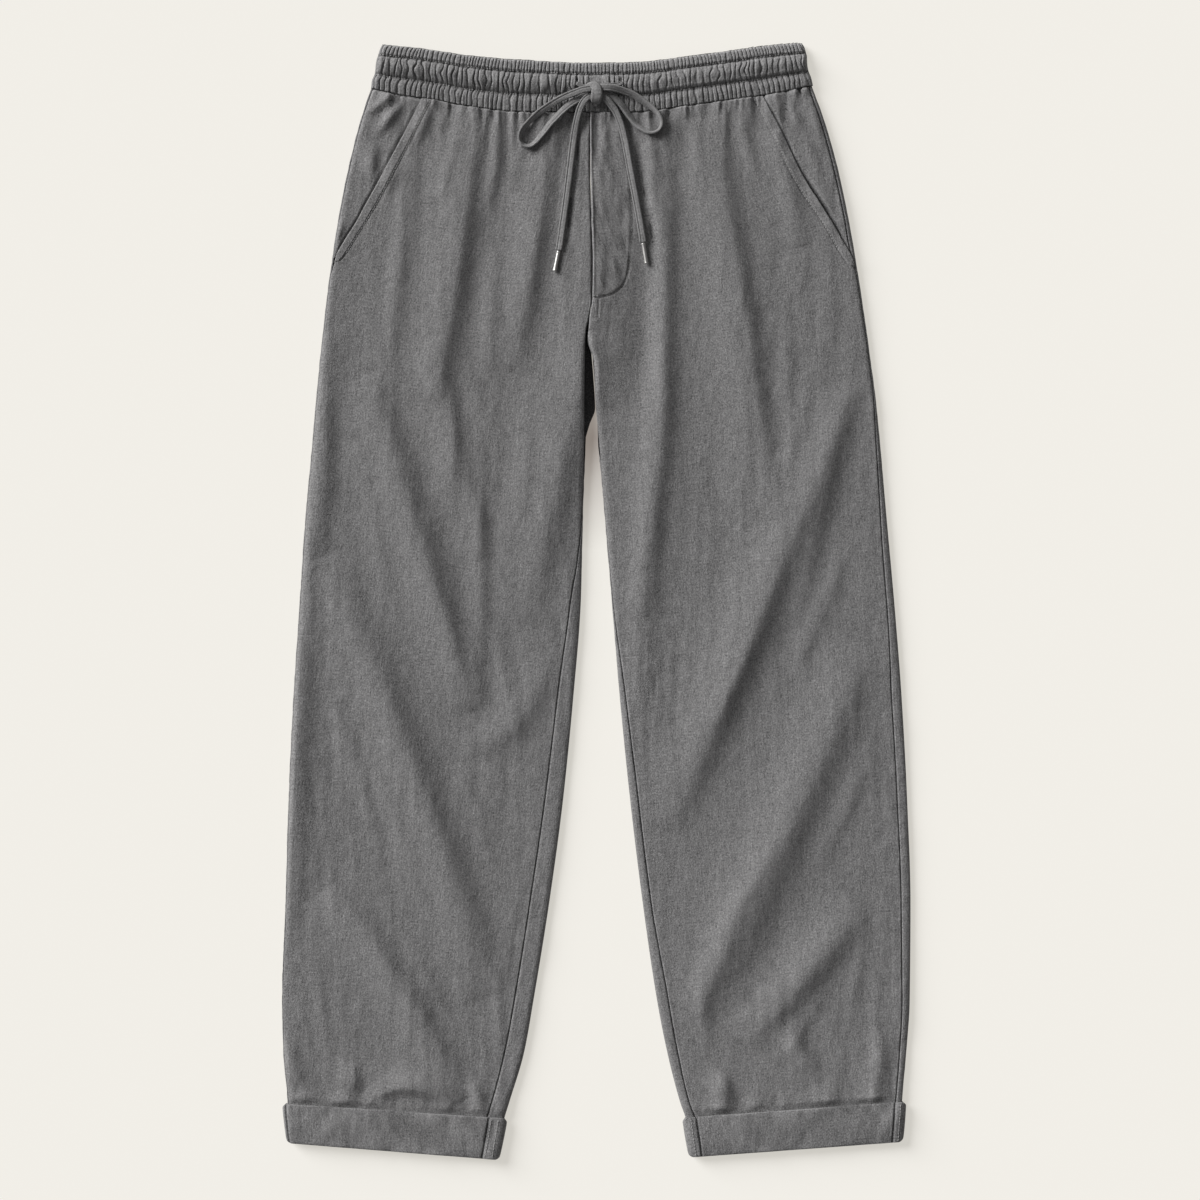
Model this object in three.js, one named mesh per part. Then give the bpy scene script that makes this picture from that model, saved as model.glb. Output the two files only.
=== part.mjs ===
import * as THREE from 'three';

// Drawstring trousers with turn-ups, laid flat with the front up. All sizes are millimetres.
// X runs across the garment, Y from the turn-ups to the waist, Z up from the surface it lies on.
// Left and right are as seen from above. A level runs down each piece from 0 to 1.

// Cloth thicknesses and the clearances between pieces
const LEG_CLOTH = 1.4;
const BAND_CLOTH = 2.4;
const TURN_UP_CLOTH = 1.8;
const SEAM_GAP = 0.34;
const LAYER_GAP = 0.35;

// The rounded edge where the front turns into the back
const ROLL = 6;
const ROLL_PATH = (ROLL * Math.PI) / 2;
const NO_ROLL = 6;

// Heights of the rounded edge's outermost line
const LEG_EDGE_HEIGHT = 3.2;
const TURN_UP_EDGE_HEIGHT = 4.7;
const BAND_EDGE_HEIGHT = 4.3;

// How far the leg is lifted where it enters the turn-up, and the length of that ramp
const TURN_UP_LIFT = LAYER_GAP + TURN_UP_CLOTH;
const TURN_UP_RAMP = 18;
const TURN_UP_CLEAR = 2;
const LEG_INSIDE_TURN_UP = 11.5;

// Mesh spacing
const BODY_ROW = 28;
const PUCKER_ROW = 11;
const PUCKER_ROWS = 4;
const BODY_COLUMNS = 13;
const PUCKER_COLUMNS = 26;
const BACK_COLUMNS = 3;
const BACK_WAIST_COLUMNS = 12;

// Gathers in the three rows of the elastic waistband, and puckers under it
const RUFFLE_GATHERS = 96;
const CHANNEL_GATHERS = 57;
const LOWER_GATHERS = 61;
const PUCKERS = 31;

// Where the puckers lie, and the least and most of their sizes
const PUCKER_SPAN = [-196, 190];
const PUCKER_REACH = 60;
const PUCKER_LENGTH = [13, 34];
const PUCKER_WIDTH = [3.2, 5];
const PUCKER_HEIGHT = [0.7, 1.5];
const PUCKER_LEAN = 0.25;

// Heights of the gathers' waves
const RUFFLE_WAVE = 0.75;
const CHANNEL_EDGE_WAVE = 0.35;
const CHANNEL_BELLY_WAVE = 0.8;
const LOWER_WAVE = 0.85;
const LEAST_WAVE = 0.6;
const PATCH_WAVE = 0.4;
const PATCH_BLEND = [-3, 2];

// The drawcord is a flat fabric tube with metal ends
const CORD_WIDTH = 6.4;
const CORD_THICKNESS = 3;
const CORD_LIFT = 0.5;
const AGLET_RADIUS = 1.9;
const AGLET_LENGTH = 19;

const table = (columns, ...rows) => rows.map((row) => (
  Object.fromEntries(columns.split(' ').map((name, i) => [name, row[i]]))
));

// Left leg. left and right are its outermost lines; side and inseam are how far in the seams lie.
// Above the crotch the centre seam lies NO_ROLL in from a line that the cloth doesn't reach.
const LEFT_LEG = table('y left right side inseam',
  [480, -208.4, -0.2, 0.8, NO_ROLL],
  [450, -218.4, -0.2, 0.8, NO_ROLL],
  [410, -228.9, 0.3, 0.8, NO_ROLL],
  [355, -239.9, 1.6, 0.8, NO_ROLL],
  [318, -245.6, 2.6, 0.8, NO_ROLL],
  [280, -250.8, 1.9, 0.8, NO_ROLL],
  [262, -252.8, -1.0, 0.8, NO_ROLL],
  [240, -255.4, -9.2, 0.8, 0.5],
  [190, -260.2, -10.0, 0.8, 0.4],
  [150, -263.8, -10.2, 0.8, 0.4],
  [75, -270.7, -12.2, 0.8, 1.2],
  [36, -273.4, -13.1, 0.8, 4.4],
  [0, -275.7, -14.1, 0.8, 9.4],
  [-90, -281.7, -21.2, 0.8, 14.6],
  [-185, -286.2, -30.7, 0.8, 16.7],
  [-280, -289.0, -43.5, 0.8, 17.7],
  [-370, -292.2, -58.0, 0.8, 17.5],
  [-420, -291.0, -67.0, 0.8, 17.8],
  [-465, -287.0, -80.4, 0.8, 16.0],
  [-480, -286.6, -85.1, 0.8, 15.9],
  [-495, -286.4, -89.6, 0.8, 15.8],
);
const RIGHT_LEG = table('y left right side inseam',
  [480, -11.9, 200.6, 3.1, NO_ROLL],
  [450, -11.9, 211.6, 4.8, NO_ROLL],
  [410, -11.4, 223.3, 5.7, NO_ROLL],
  [355, -10.2, 235.2, 4.3, NO_ROLL],
  [318, -9.1, 241.7, 4.6, NO_ROLL],
  [280, -9.8, 247.6, 5.8, NO_ROLL],
  [262, -12.5, 250.2, 6.6, NO_ROLL],
  [240, -8.5, 253.4, 7.5, 2.0],
  [222, -3.0, 255.8, 8.1, 0.5],
  [190, -1.6, 260.1, 9.1, 0.4],
  [150, 2.0, 264.1, 9.1, 0.4],
  [75, 8.4, 270.7, 8.0, 0.4],
  [0, 14.7, 277.5, 8.1, 0.9],
  [-90, 22.2, 284.5, 9.0, 5.5],
  [-185, 31.8, 289.6, 9.0, 7.8],
  [-280, 43.4, 292.7, 8.6, 8.0],
  [-370, 56.6, 292.0, 8.0, 10.6],
  [-420, 66.4, 288.7, 6.9, 9.8],
  [-465, 78.0, 284.6, 4.1, 8.6],
  [-480, 83.3, 283.4, 3.9, 8.8],
  [-495, 87.4, 282.6, 3.7, 9.1],
);

// The slanted pocket opening, as the distance of its edge from the leg's outermost line
const LEFT_POCKET = table('y edge', [480, 48], [450, 43], [410, 34.3], [386, 28], [355, 17.9],
  [336, 9.3], [321, 3.4], [300, 0.8]);
const RIGHT_POCKET = table('y edge', [480, 46], [450, 41.7], [410, 36.2], [384, 29.1], [362, 20],
  [343, 11.2], [323, 5.2], [300, 5.2]);
const POCKET_BOTTOM = 324;
const POCKET_CLOSES = [300, 308];
const POCKET_TUCK = 16;
const POCKET_SLACK = 1.3;
const FACING_GAP = 0.51;
const FACING_DROP_STARTS = 5;
const FACING_DROP_ENDS = 1;

// The back's crotch extension, seen between the two fronts. edge is where its flat cloth ends.
const LEFT_BACK_CROTCH = table('y edge', [480, -5.2], [250, -5.2], [215, -3.4], [185, -1.7],
  [165, -5.8], [152, -9.6]);
const RIGHT_BACK_CROTCH = table('y edge', [480, -4.8], [250, -4.8], [215, -2.9], [190, -1.2],
  [175, -0.2], [160, 1.2]);
const LEFT_BACK_ROLLS_BY = 118;
const RIGHT_BACK_ROLLS_BY = 126;

// The waistband's upper edge, and the seam that joins it to the legs
const WAISTBAND = table('x top seam',
  [-215, 519.4, 478.4],
  [-180, 516.4, 470.2],
  [-149, 512.6, 466.0],
  [-117, 507.7, 459.8],
  [-69, 503.8, 454.9],
  [-5, 500.9, 454.6],
  [40, 501.8, 454.8],
  [81, 506.7, 460.2],
  [129, 513.0, 466.8],
  [161, 517.4, 471.2],
  [206, 520.6, 480.6],
);
const BAND_SIDES = table('level left right height',
  [0, -198.6, 191.4, 6.9],
  [0.1, -200.8, 193.6, 9.2],
  [0.23, -202.4, 195.2, 8.0],
  [0.3, -203.6, 196.2, 9.8],
  [0.44, -204.8, 196.4, 11.2],
  [0.58, -205.4, 197.0, 10.2],
  [0.67, -206.0, 198.0, 8.2],
  [0.82, -208.4, 200.2, 9.6],
  [1, -209.3, 201.8, 8.6],
);
const BAND_DEPTH = 45;
const BAND_INSIDE_COLUMNS = 20;
const BAND_BACK_COLUMNS = 24;
const BAND_INSIDE_RISE = 0.4;
const RUFFLE_ENDS = 0.23;
const CHANNEL_ENDS = 0.67;
const BAND_LEVELS = [0, 0.1, 0.23, 0.34, 0.46, 0.58, 0.67, 0.82, 1];
const BAND_PLAIN_PATCH = table('left right', [-7, 7.5])[0];

// The turn-ups: their upper and lower edges are straight lines, level 0 and level 1
const LEFT_TURN_UP = table('level left right xLow yLow xHigh yHigh',
  [0, -289.5, -84.8, -291.6, -466.6, -83.4, -480.4],
  [1, -285.9, -91.4, -287.7, -503.2, -89.6, -519.0],
);
const RIGHT_TURN_UP = table('level left right xLow yLow xHigh yHigh',
  [0, 82.6, 286.3, 80.8, -479.7, 288.4, -464.8],
  [1, 87.8, 283.8, 85.7, -516.7, 285.9, -502.1],
);
const LEFT_TURN_UP_SEAMS = [2.4, 14.6];
const RIGHT_TURN_UP_SEAMS = [10.8, 8.4];
const TURN_UP_GROOVE = 0.7;
const GROOVE_REACH = 1.3;
const TURN_UP_TOP = 8;
const TURN_UP_BENEATH = 3;
const LEAST_COLUMN = 0.25;

// The turn-up's wall: how far each corner lies outside the leg's cloth at a level
const TURN_UP_WALL = table('level offset',
  [0, LAYER_GAP], [-0.012, 1.3], [0.03, TURN_UP_LIFT], [0.5, TURN_UP_LIFT + 0.2], [0.95, TURN_UP_LIFT],
  [1, 0.9], [0.985, -LEG_CLOTH], [0.33, -LEG_CLOTH], [0.33, LAYER_GAP]);

// Heights down the legs, before folds
const LEG_HEIGHTS = table('y height', [490, 8.4], [440, 8.0], [350, 8.0], [250, 7.6], [150, 7.2],
  [0, 6.6], [-200, 6.2], [-400, 6.3], [-455, 7.0], [-480, 7.4], [-525, 7.4]);

// Folds. Each crest runs from 0 down to 1 and bows sideways; its first side is soft, the other sharp.
const FOLDS = table('x0 y0 x1 y1 bow height soft sharp',
  [-108, 455, -144, 187, 4, 3.2, 15, 9],
  [-90, 454, -107, 345, 3, 1.8, 8, 6],
  [-44, 450, -73, 215, 3, 2.6, 13, 8],
  [-15, 375, -54, 48, 6, 1.6, 18, 12],
  [-190, 252, -124, -92, -14, 3.2, 17, 13],
  [-249, 34, -100, -360, 6, 4.0, 18, 14],
  [-45, -50, -124, -137, 20, 2.6, 14, 10],
  [-238, -272, -145, -434, 4, 3.4, 15, 11],
  [-273, 2, -285, -296, 0, 1.6, 6, 8],
  [-131, -456, -215, -454, -15, 2.6, 12, 6],
  [-229, -424, -221, -458, 0, 1.8, 7, 5],
  [-289, -400, -275, -455, 0, 1.6, 7, 6],
  [-116, -440, -105, -474, 0, 1.8, 7, 5],
  [74, 430, 46, 0, 8, 3.0, 14, 9],
  [110, 447, 148, 75, 12, 3.8, 22, 12],
  [164, 438, 190, 330, 2, 1.8, 10, 8],
  [236, 187, 92, -157, 2, 4.4, 20, 13],
  [244, -36, 95, -389, 3, 4.0, 18, 12],
  [244, -268, 120, -408, 3, 3.2, 15, 10],
  [171, -389, 208, -445, 0, 2.2, 9, 7],
  [113, -432, 124, -470, 0, 1.8, 8, 6],
  [262, -395, 266, -452, 0, 1.6, 7, 6],
  [-186, 440, -232, 356, 0, 1.6, 9, 7],
);
const FOLD_TAPER = 0.55;

// The fly: its edge laps over, and its stitched extension lifts the cloth out to a curved line
const FLY_LIFT = 0.8;
const FLY_BLEND = 1.5;
const FLY_BOTTOM = [279, 284];
const FLY_STITCH = table('y x', [460, 22.3], [403, 28.8], [371, 34.4], [339, 36.3], [307, 31.6],
  [292, 20.5], [284, 7.4], [281, -6]);

// The drawcord's route. lift counts the cord thicknesses that it passes over.
const LEAD_LEFT = table('x y lift', [-18.3, 482.4, 0.15], [-14.4, 479.9, 0.15], [-10.3, 478.1, 0.15],
  [-7.8, 477.6, 0.15]);
const LEAD_RIGHT = table('x y lift', [24.9, 482.9, 0.15], [21.8, 481.2, 0.15], [18, 480.1, 0.15],
  [13.6, 479.8, 0.15]);
const LOOP_LEFT = table('x y lift',
  [-5.6, 476.4, 1.3], [-12.1, 475.4, 1.35], [-18.1, 473.5, 1.3], [-28.4, 469.7, 0.8],
  [-38.5, 464.6, 0.3], [-51.2, 456.4, 0], [-58.6, 450.2, 0], [-64.6, 444.1, 0],
  [-69, 438.7, 0], [-71.1, 432.9, 0], [-70.1, 427.8, 0], [-66.4, 424.4, 0],
  [-61.4, 424, 0], [-56.3, 427.3, 0], [-51.4, 432.9, 0], [-46.9, 438.5, 0],
  [-42.8, 444.1, 0], [-37.2, 450.1, 0], [-31.2, 456.6, 0], [-24.6, 462.2, 0],
  [-17.7, 466.8, 0.05], [-11.2, 470.2, 0.1], [-5.4, 472.2, 0.1],
);
const LOOP_RIGHT = table('x y lift',
  [4.8, 477.4, 1.3], [10.2, 477.5, 1.35], [16.1, 476.8, 1.3], [25, 474.8, 0.9],
  [35.2, 471, 0.4], [45.3, 464.6, 0.1], [54.2, 457.7, 0], [59.7, 450.6, 0],
  [61, 444.3, 0], [58, 438.6, 0], [51.6, 436.2, 0], [45.3, 438.1, 0],
  [37.2, 444.1, 0], [32.7, 449.7, 0], [28.6, 455.2, 0], [23.3, 462.7, 0],
  [19.8, 466.4, 0], [16.3, 469.6, 0.05], [11.4, 472.2, 0.1], [5, 473.4, 0.1],
);
const TAIL_LEFT = table('x y lift',
  [-5.4, 469.4, 1.4], [-8, 468.4, 1.4], [-10.4, 466.2, 1.4], [-12.9, 462.5, 1.1],
  [-16.1, 455.2, 0.3], [-18.8, 444.1, 0], [-20.7, 432.9, 0], [-22.1, 421.8, 0],
  [-24.5, 401.3, 0], [-28, 373.4, 0], [-31.9, 345.5, 0], [-34.7, 326.4, 0],
);
const TAIL_RIGHT = table('x y lift',
  [4.9, 469.4, 1.4], [7.4, 468.4, 1.4], [9.9, 466.4, 1.4], [13.3, 462.7, 1.1],
  [18.6, 455.2, 0.3], [23.1, 444.1, 0], [26, 432.9, 0], [28.3, 421.8, 0],
  [31.9, 401.3, 0], [37.2, 373.4, 0], [42.1, 345.5, 0], [43.9, 333.8, 0],
);
const AGLET_LEFT_END = table('x y', [-38.9, 305.7])[0];
const AGLET_RIGHT_END = table('x y', [46.9, 314.8])[0];
const KNOT = table('x y width length height', [-0.2, 472.4, 9.4, 21.4, 8.6])[0];
const KNOT_SIDES = 14;
const KNOT_RINGS = 9;
const CORD_SIDES = 8;
const AGLET_SIDES = 12;
const LEAD_STEPS = 5;
const LEFT_LOOP_STEPS = 30;
const RIGHT_LOOP_STEPS = 27;
const TAIL_STEPS = 16;

const clamp = (value, low, high) => Math.min(Math.max(value, low), high);
const mix = (a, b, f) => a + (b - a) * f;
const smoothStep = (low, high, value) => {
  const f = clamp((value - low) / (high - low), 0, 1);
  return f * f * (3 - 2 * f);
};

// One column of a table as a smooth function of another, with no overshoot between its rows.
function smoothColumn(rows, key, name) {
  const points = rows.map((row) => [row[key], row[name]]).sort((a, b) => a[0] - b[0]);
  const slopes = points.slice(1).map((point, i) => (
    (point[1] - points[i][1]) / (point[0] - points[i][0])
  ));
  const tangents = points.map((point, i) => {
    const before = slopes[Math.max(i - 1, 0)];
    const after = slopes[Math.min(i, slopes.length - 1)];
    return before * after <= 0 ? 0 : (2 * before * after) / (before + after);
  });
  return (wanted) => {
    const at = clamp(wanted, points[0][0], points[points.length - 1][0]);
    let i = 0;
    while (i < points.length - 2 && at > points[i + 1][0]) i += 1;
    const width = points[i + 1][0] - points[i][0];
    const f = (at - points[i][0]) / width;
    const g = 1 - f;
    return points[i][1] * g * g * (1 + 2 * f) + points[i + 1][1] * f * f * (1 + 2 * g)
      + width * f * g * (tangents[i] * g - tangents[i + 1] * f);
  };
}

// Path lengths run over a piece's upper side from its left outermost line, and back underneath.
function pathAt(inset) {
  const size = Math.abs(inset);
  const path = size < ROLL ? Math.acos(1 - size / ROLL) * ROLL : ROLL_PATH + size - ROLL;
  return Math.sign(inset) * path;
}

// How often an edge is placed again on its slanting level line, and the step that finds a normal
const EDGE_ROUNDS = 6;
const NORMAL_STEP = 0.4;

// A flattened tube of cloth: point(level, path) gives a point on its outer surface.
class FlatTube {
  constructor(shape) {
    Object.assign(this, shape);
    this.known = new Map();
  }

  edges(level) {
    if (!this.known.has(level)) {
      const edge = (side) => {
        let x = side(level, this.curve(level, 0));
        for (let i = 0; i < EDGE_ROUNDS; i += 1) x = side(level, this.curve(level, x));
        return x;
      };
      const left = edge(this.left);
      const right = edge(this.right);
      this.known.set(level, { left, right, path: 2 * ROLL_PATH + right - left - 2 * ROLL });
    }
    return this.known.get(level);
  }

  point(level, path) {
    const { left, right, path: half } = this.edges(level);
    const around = ((path % (2 * half)) + 2 * half) % (2 * half);
    const below = around > half;
    const along = below ? 2 * half - around : around;
    const end = Math.min(along, half - along);
    const angle = Math.min(end / ROLL_PATH, 1) * (Math.PI / 2);
    const inset = end < ROLL_PATH ? ROLL * (1 - Math.cos(angle)) : ROLL + end - ROLL_PATH;
    const x = along < half - along ? left + inset : right - inset;
    const y = this.curve(level, x);
    const middle = this.middle(level);
    const far = below ? this.under(level) : this.top(x, y, level);
    return new THREE.Vector3(x, y, middle + (far - middle) * Math.sin(angle));
  }

  moved(level, path, offset) {
    const rise = NORMAL_STEP / this.length;
    const across = this.point(level, path + NORMAL_STEP).sub(this.point(level, path - NORMAL_STEP));
    const along = this.point(level + rise, path).sub(this.point(level - rise, path));
    const outwards = along.cross(across).normalize();
    return this.point(level, path).addScaledVector(outwards, offset);
  }
}

// The height that the folds add at a place
function foldHeight(x, y) {
  return FOLDS.reduce((sum, fold) => {
    const dx = fold.x1 - fold.x0;
    const dy = fold.y1 - fold.y0;
    const size = Math.hypot(dx, dy);
    const f = ((x - fold.x0) * dx + (y - fold.y0) * dy) / (size * size);
    if (f <= 0 || f >= 1) return sum;
    const bow = 4 * fold.bow * f * (1 - f);
    const aside = ((x - fold.x0) * -dy + (y - fold.y0) * dx) / size - bow;
    const width = aside < 0 ? fold.soft : fold.sharp;
    const taper = Math.sin(Math.PI * f) ** FOLD_TAPER;
    return sum + fold.height * taper * Math.exp(-((aside / width) ** 2));
  }, 0);
}

// A repeatable uneven number from 0 to 1 for each whole number
const uneven = (n, seed) => {
  const wave = Math.sin(n * 12.9898 + seed * 78.233) * 43758.5453;
  return wave - Math.floor(wave);
};

const bandTop = smoothColumn(WAISTBAND, 'x', 'top');
const bandSeam = smoothColumn(WAISTBAND, 'x', 'seam');

// Short puckers that run down from the waist seam
function puckerHeight(x, y) {
  const below = bandSeam(x) - y;
  if (below > PUCKER_REACH) return 0;
  let height = 0;
  for (let i = 0; i < PUCKERS; i += 1) {
    const place = mix(...PUCKER_SPAN, (i + 0.5 + 0.5 * (uneven(i, 1) - 0.5)) / PUCKERS);
    const length = mix(...PUCKER_LENGTH, uneven(i, 2) ** 1.5);
    const width = mix(...PUCKER_WIDTH, uneven(i, 3));
    const lean = (uneven(i, 4) - 0.5) * PUCKER_LEAN;
    const aside = (x - place - lean * below) / width;
    const size = mix(...PUCKER_HEIGHT, uneven(i, 5));
    height += size * Math.exp(-aside * aside - (below / length) ** 2);
  }
  return height;
}

const flyEdge = smoothColumn(FLY_STITCH, 'y', 'x');
const flyHeight = (x, y) => (
  FLY_LIFT * smoothStep(-FLY_BLEND, FLY_BLEND, flyEdge(y) - x) * smoothStep(...FLY_BOTTOM, y)
);

const legBase = smoothColumn(LEG_HEIGHTS, 'y', 'height');
const legTop = (x, y) => legBase(y) + foldHeight(x, y) + puckerHeight(x, y);
const rightLegTop = (x, y) => legTop(x, y) + flyHeight(x, y);

// The straight edge of a turn-up at a level
const turnUpEdge = (rows, level, x) => {
  const at = (row) => mix(row.yLow, row.yHigh, (x - row.xLow) / (row.xHigh - row.xLow));
  return mix(at(rows[0]), at(rows[1]), level);
};

function legTube(rows, turnUp, top, sides = {}) {
  const turnUpDepth = turnUp[0].yLow - turnUp[1].yLow;
  const inside = LEG_INSIDE_TURN_UP / turnUpDepth;
  const end = (x) => turnUpEdge(turnUp, inside, x);
  const length = bandSeam(0) - end((turnUp[0].left + turnUp[0].right) / 2);
  const rampEnd = 1 - (LEG_INSIDE_TURN_UP + TURN_UP_CLEAR) / length;
  const rampStart = rampEnd - TURN_UP_RAMP / length;
  const lift = (level) => smoothStep(rampStart, rampEnd, level);
  const left = smoothColumn(rows, 'y', 'left');
  const right = smoothColumn(rows, 'y', 'right');
  return new FlatTube({
    length,
    ramp: [0, 1 / 3, 2 / 3, 1].map((f) => mix(rampStart, rampEnd, f)),
    curve: (level, x) => mix(bandSeam(x) - SEAM_GAP / 2, end(x), level),
    left: sides.left ?? ((level, y) => left(y)),
    right: sides.right ?? ((level, y) => right(y)),
    top,
    under: (level) => TURN_UP_LIFT * lift(level),
    middle: (level) => mix(LEG_EDGE_HEIGHT, TURN_UP_EDGE_HEIGHT, lift(level)),
  });
}

// Adds triangles between two runs of points: forwards along the first, backwards along the second.
class Surface {
  constructor() {
    this.points = [];
    this.faces = [];
  }

  run(points) {
    return points.map((point) => this.points.push(point) - 1);
  }

  bridge(first, second) {
    const even = first.length === second.length;
    const place = (run) => {
      const sums = [0];
      for (let i = 1; i < run.length; i += 1) {
        const step = even ? 1 : this.points[run[i]].distanceTo(this.points[run[i - 1]]);
        sums.push(sums[i - 1] + step);
      }
      return sums.map((sum) => sum / sums[sums.length - 1]);
    };
    const firstPlace = place(first);
    const secondPlace = place(second);
    let i = 0;
    let j = 0;
    while (i < first.length - 1 || j < second.length - 1) {
      const stepFirst = j === second.length - 1
        || (i < first.length - 1 && firstPlace[i + 1] <= secondPlace[j + 1]);
      if (stepFirst) {
        this.faces.push([first[i], first[i + 1], second[j]]);
        i += 1;
      } else {
        this.faces.push([first[i], second[j + 1], second[j]]);
        j += 1;
      }
    }
  }

  geometry() {
    const [a, b, c] = [new THREE.Vector3(), new THREE.Vector3(), new THREE.Vector3()];
    const volume = this.faces.reduce((sum, face) => {
      a.copy(this.points[face[0]]);
      b.copy(this.points[face[1]]);
      c.copy(this.points[face[2]]);
      return sum + a.dot(b.cross(c));
    }, 0);
    const faces = volume > 0 ? this.faces : this.faces.map((face) => [face[0], face[2], face[1]]);
    const geometry = new THREE.BufferGeometry().setFromPoints(this.points);
    geometry.setIndex(faces.flat());
    geometry.computeVertexNormals();
    return geometry;
  }
}

// A closed wall with an outer and an inner sheet, each given as rows of points.
function wallGeometry(outerRows, innerRows) {
  const surface = new Surface();
  const outer = outerRows.map((row) => surface.run(row));
  const inner = innerRows.map((row) => surface.run(row));
  outer.slice(1).forEach((row, i) => surface.bridge(outer[i], row));
  inner.slice(1).forEach((row, i) => surface.bridge(row, inner[i]));
  surface.bridge(inner[0], outer[0]);
  surface.bridge(outer[outer.length - 1], inner[inner.length - 1]);
  surface.bridge(outer.map((row) => row[0]), inner.map((row) => row[0]));
  surface.bridge(inner.map((row) => row[row.length - 1]), outer.map((row) => row[row.length - 1]));
  return surface.geometry();
}

// Sections that close on themselves, joined into a ring.
function ringGeometry(sections) {
  const surface = new Surface();
  const runs = sections.map((section) => surface.run(section));
  const closed = (run) => [...run, run[0]];
  runs.forEach((run, i) => surface.bridge(closed(run), closed(runs[(i + 1) % runs.length])));
  return surface.geometry();
}

// Shares of the way round a rolled edge at which columns lie, and how far past it the roll ends
const NEAR_SHARES = [0, 1 / 3, 2 / 3];
const BEND_SHARES = [0, 0.25, 0.5, 0.75];
const PAST_ROLL = 0.6;
const END_COLUMNS = 8;

// Path lengths for a wall's columns: a few close ones by each end and even ones between.
function spread(start, end, half, count) {
  const first = Math.max(ROLL_PATH + PAST_ROLL, start + END_COLUMNS);
  const last = Math.min(half - ROLL_PATH - PAST_ROLL, end - END_COLUMNS);
  const near = NEAR_SHARES;
  return [
    ...near.map((f) => mix(start, first, f)),
    ...Array.from({ length: count + 1 }, (_, i) => mix(first, last, i / count)),
    ...near.map((f) => mix(end, last, f)).reverse(),
  ];
}

// Levels down a leg at even distances, with closer ones under the waist and where it enters the turn-up.
function legLevels({ length, ramp }, closer) {
  const near = Array.from({ length: closer }, (_, i) => (i * PUCKER_ROW) / length);
  const start = (PUCKER_ROWS * PUCKER_ROW) / length;
  const count = Math.round(((ramp[0] - start) * length) / BODY_ROW);
  const body = Array.from({ length: count }, (_, i) => mix(start, ramp[0], i / count));
  return [...near, ...body, ...ramp, 1];
}

function frontPanel(tube, leftEnd, rightEnd) {
  const rowsAt = (offset) => legLevels(tube, PUCKER_ROWS).map((level, i) => {
    const { left, right, path } = tube.edges(level);
    const start = pathAt(leftEnd(tube.curve(level, left))) + SEAM_GAP / 2;
    const end = path - pathAt(rightEnd(tube.curve(level, right))) - SEAM_GAP / 2;
    const count = i < PUCKER_ROWS ? PUCKER_COLUMNS : BODY_COLUMNS;
    return spread(start, end, path, count).map((at) => tube.moved(level, at, offset));
  });
  return wallGeometry(rowsAt(0), rowsAt(-LEG_CLOTH));
}

// The back wraps from its right seam, under the leg, to its left seam.
function backPanel(tube, leftEnd, rightEnd) {
  const rowsAt = (offset) => legLevels(tube, 1).map((level, i) => {
    const { left, right, path } = tube.edges(level);
    const start = path - pathAt(rightEnd(tube.curve(level, right))) + SEAM_GAP / 2;
    const end = 2 * path + pathAt(leftEnd(tube.curve(level, left))) - SEAM_GAP / 2;
    const under = path + ROLL_PATH;
    const first = Math.max(under, start + PAST_ROLL);
    const last = Math.min(2 * path - ROLL_PATH, end - PAST_ROLL);
    const count = i === 0 ? BACK_WAIST_COLUMNS : BACK_COLUMNS;
    const places = [
      ...BEND_SHARES.map((f) => mix(start, first, f)),
      ...Array.from({ length: count + 1 }, (_, j) => mix(first, last, j / count)),
      ...BEND_SHARES.map((f) => mix(end, last, f)).reverse(),
    ];
    return places.map((at) => tube.moved(level, at, offset));
  });
  return wallGeometry(rowsAt(0), rowsAt(-LEG_CLOTH));
}

// The hip piece behind a pocket opening: level with the front by the side seam, under it further in.
function pocketFacing(tube, onLeft, pocketEdge, sideSeam) {
  const reach = (bandSeam(onLeft ? PUCKER_SPAN[0] : PUCKER_SPAN[1]) - POCKET_BOTTOM) / tube.length;
  const levels = legLevels(tube, PUCKER_ROWS).filter((level) => level < reach);
  const rowsAt = (depth) => levels.map((level) => {
    const { left, right, path } = tube.edges(level);
    const y = tube.curve(level, onLeft ? left : right);
    const seam = pathAt(sideSeam(y)) + FACING_GAP;
    const edge = pathAt(pocketEdge(y));
    const tuck = edge + POCKET_TUCK;
    const flatEnds = Math.max(edge - FACING_DROP_STARTS, seam + 1);
    const places = [...BEND_SHARES.map((f) => mix(seam, flatEnds, f)), flatEnds,
      Math.max(edge - FACING_DROP_ENDS, seam + 2), mix(edge, tuck, 0.5), tuck];
    const inOrder = onLeft ? places : places.map((at) => path - at).reverse();
    const dropStarts = edge - FACING_DROP_STARTS - 0.5;
    const dropEnds = edge - FACING_DROP_ENDS;
    return inOrder.map((at) => {
      const fromSide = onLeft ? at : path - at;
      const drop = (LEG_CLOTH + LAYER_GAP) * smoothStep(dropStarts, dropEnds, fromSide)
        + POCKET_SLACK * smoothStep(dropEnds, tuck, fromSide);
      return tube.moved(level, at, -drop - depth);
    });
  });
  return wallGeometry(rowsAt(0), rowsAt(LEG_CLOTH));
}

// Uneven gathers: a wave whose spacing drifts along the waistband
const GATHER_DRIFT = table('size turns shift', [0.006, 19, 1], [0.0035, 47, 2.1], [0.0016, 101, 3.3]);
const gatherPhase = (count, across, seed) => (
  GATHER_DRIFT.reduce((sum, { size, turns, shift }) => (
    sum + count * size * Math.sin(turns * across + shift * seed)
  ), count * across)
);
const gatherWave = (count, across, seed) => {
  const phase = gatherPhase(count, across, seed);
  return Math.cos(2 * Math.PI * phase) * mix(LEAST_WAVE, 1, uneven(Math.round(phase), seed));
};

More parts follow.
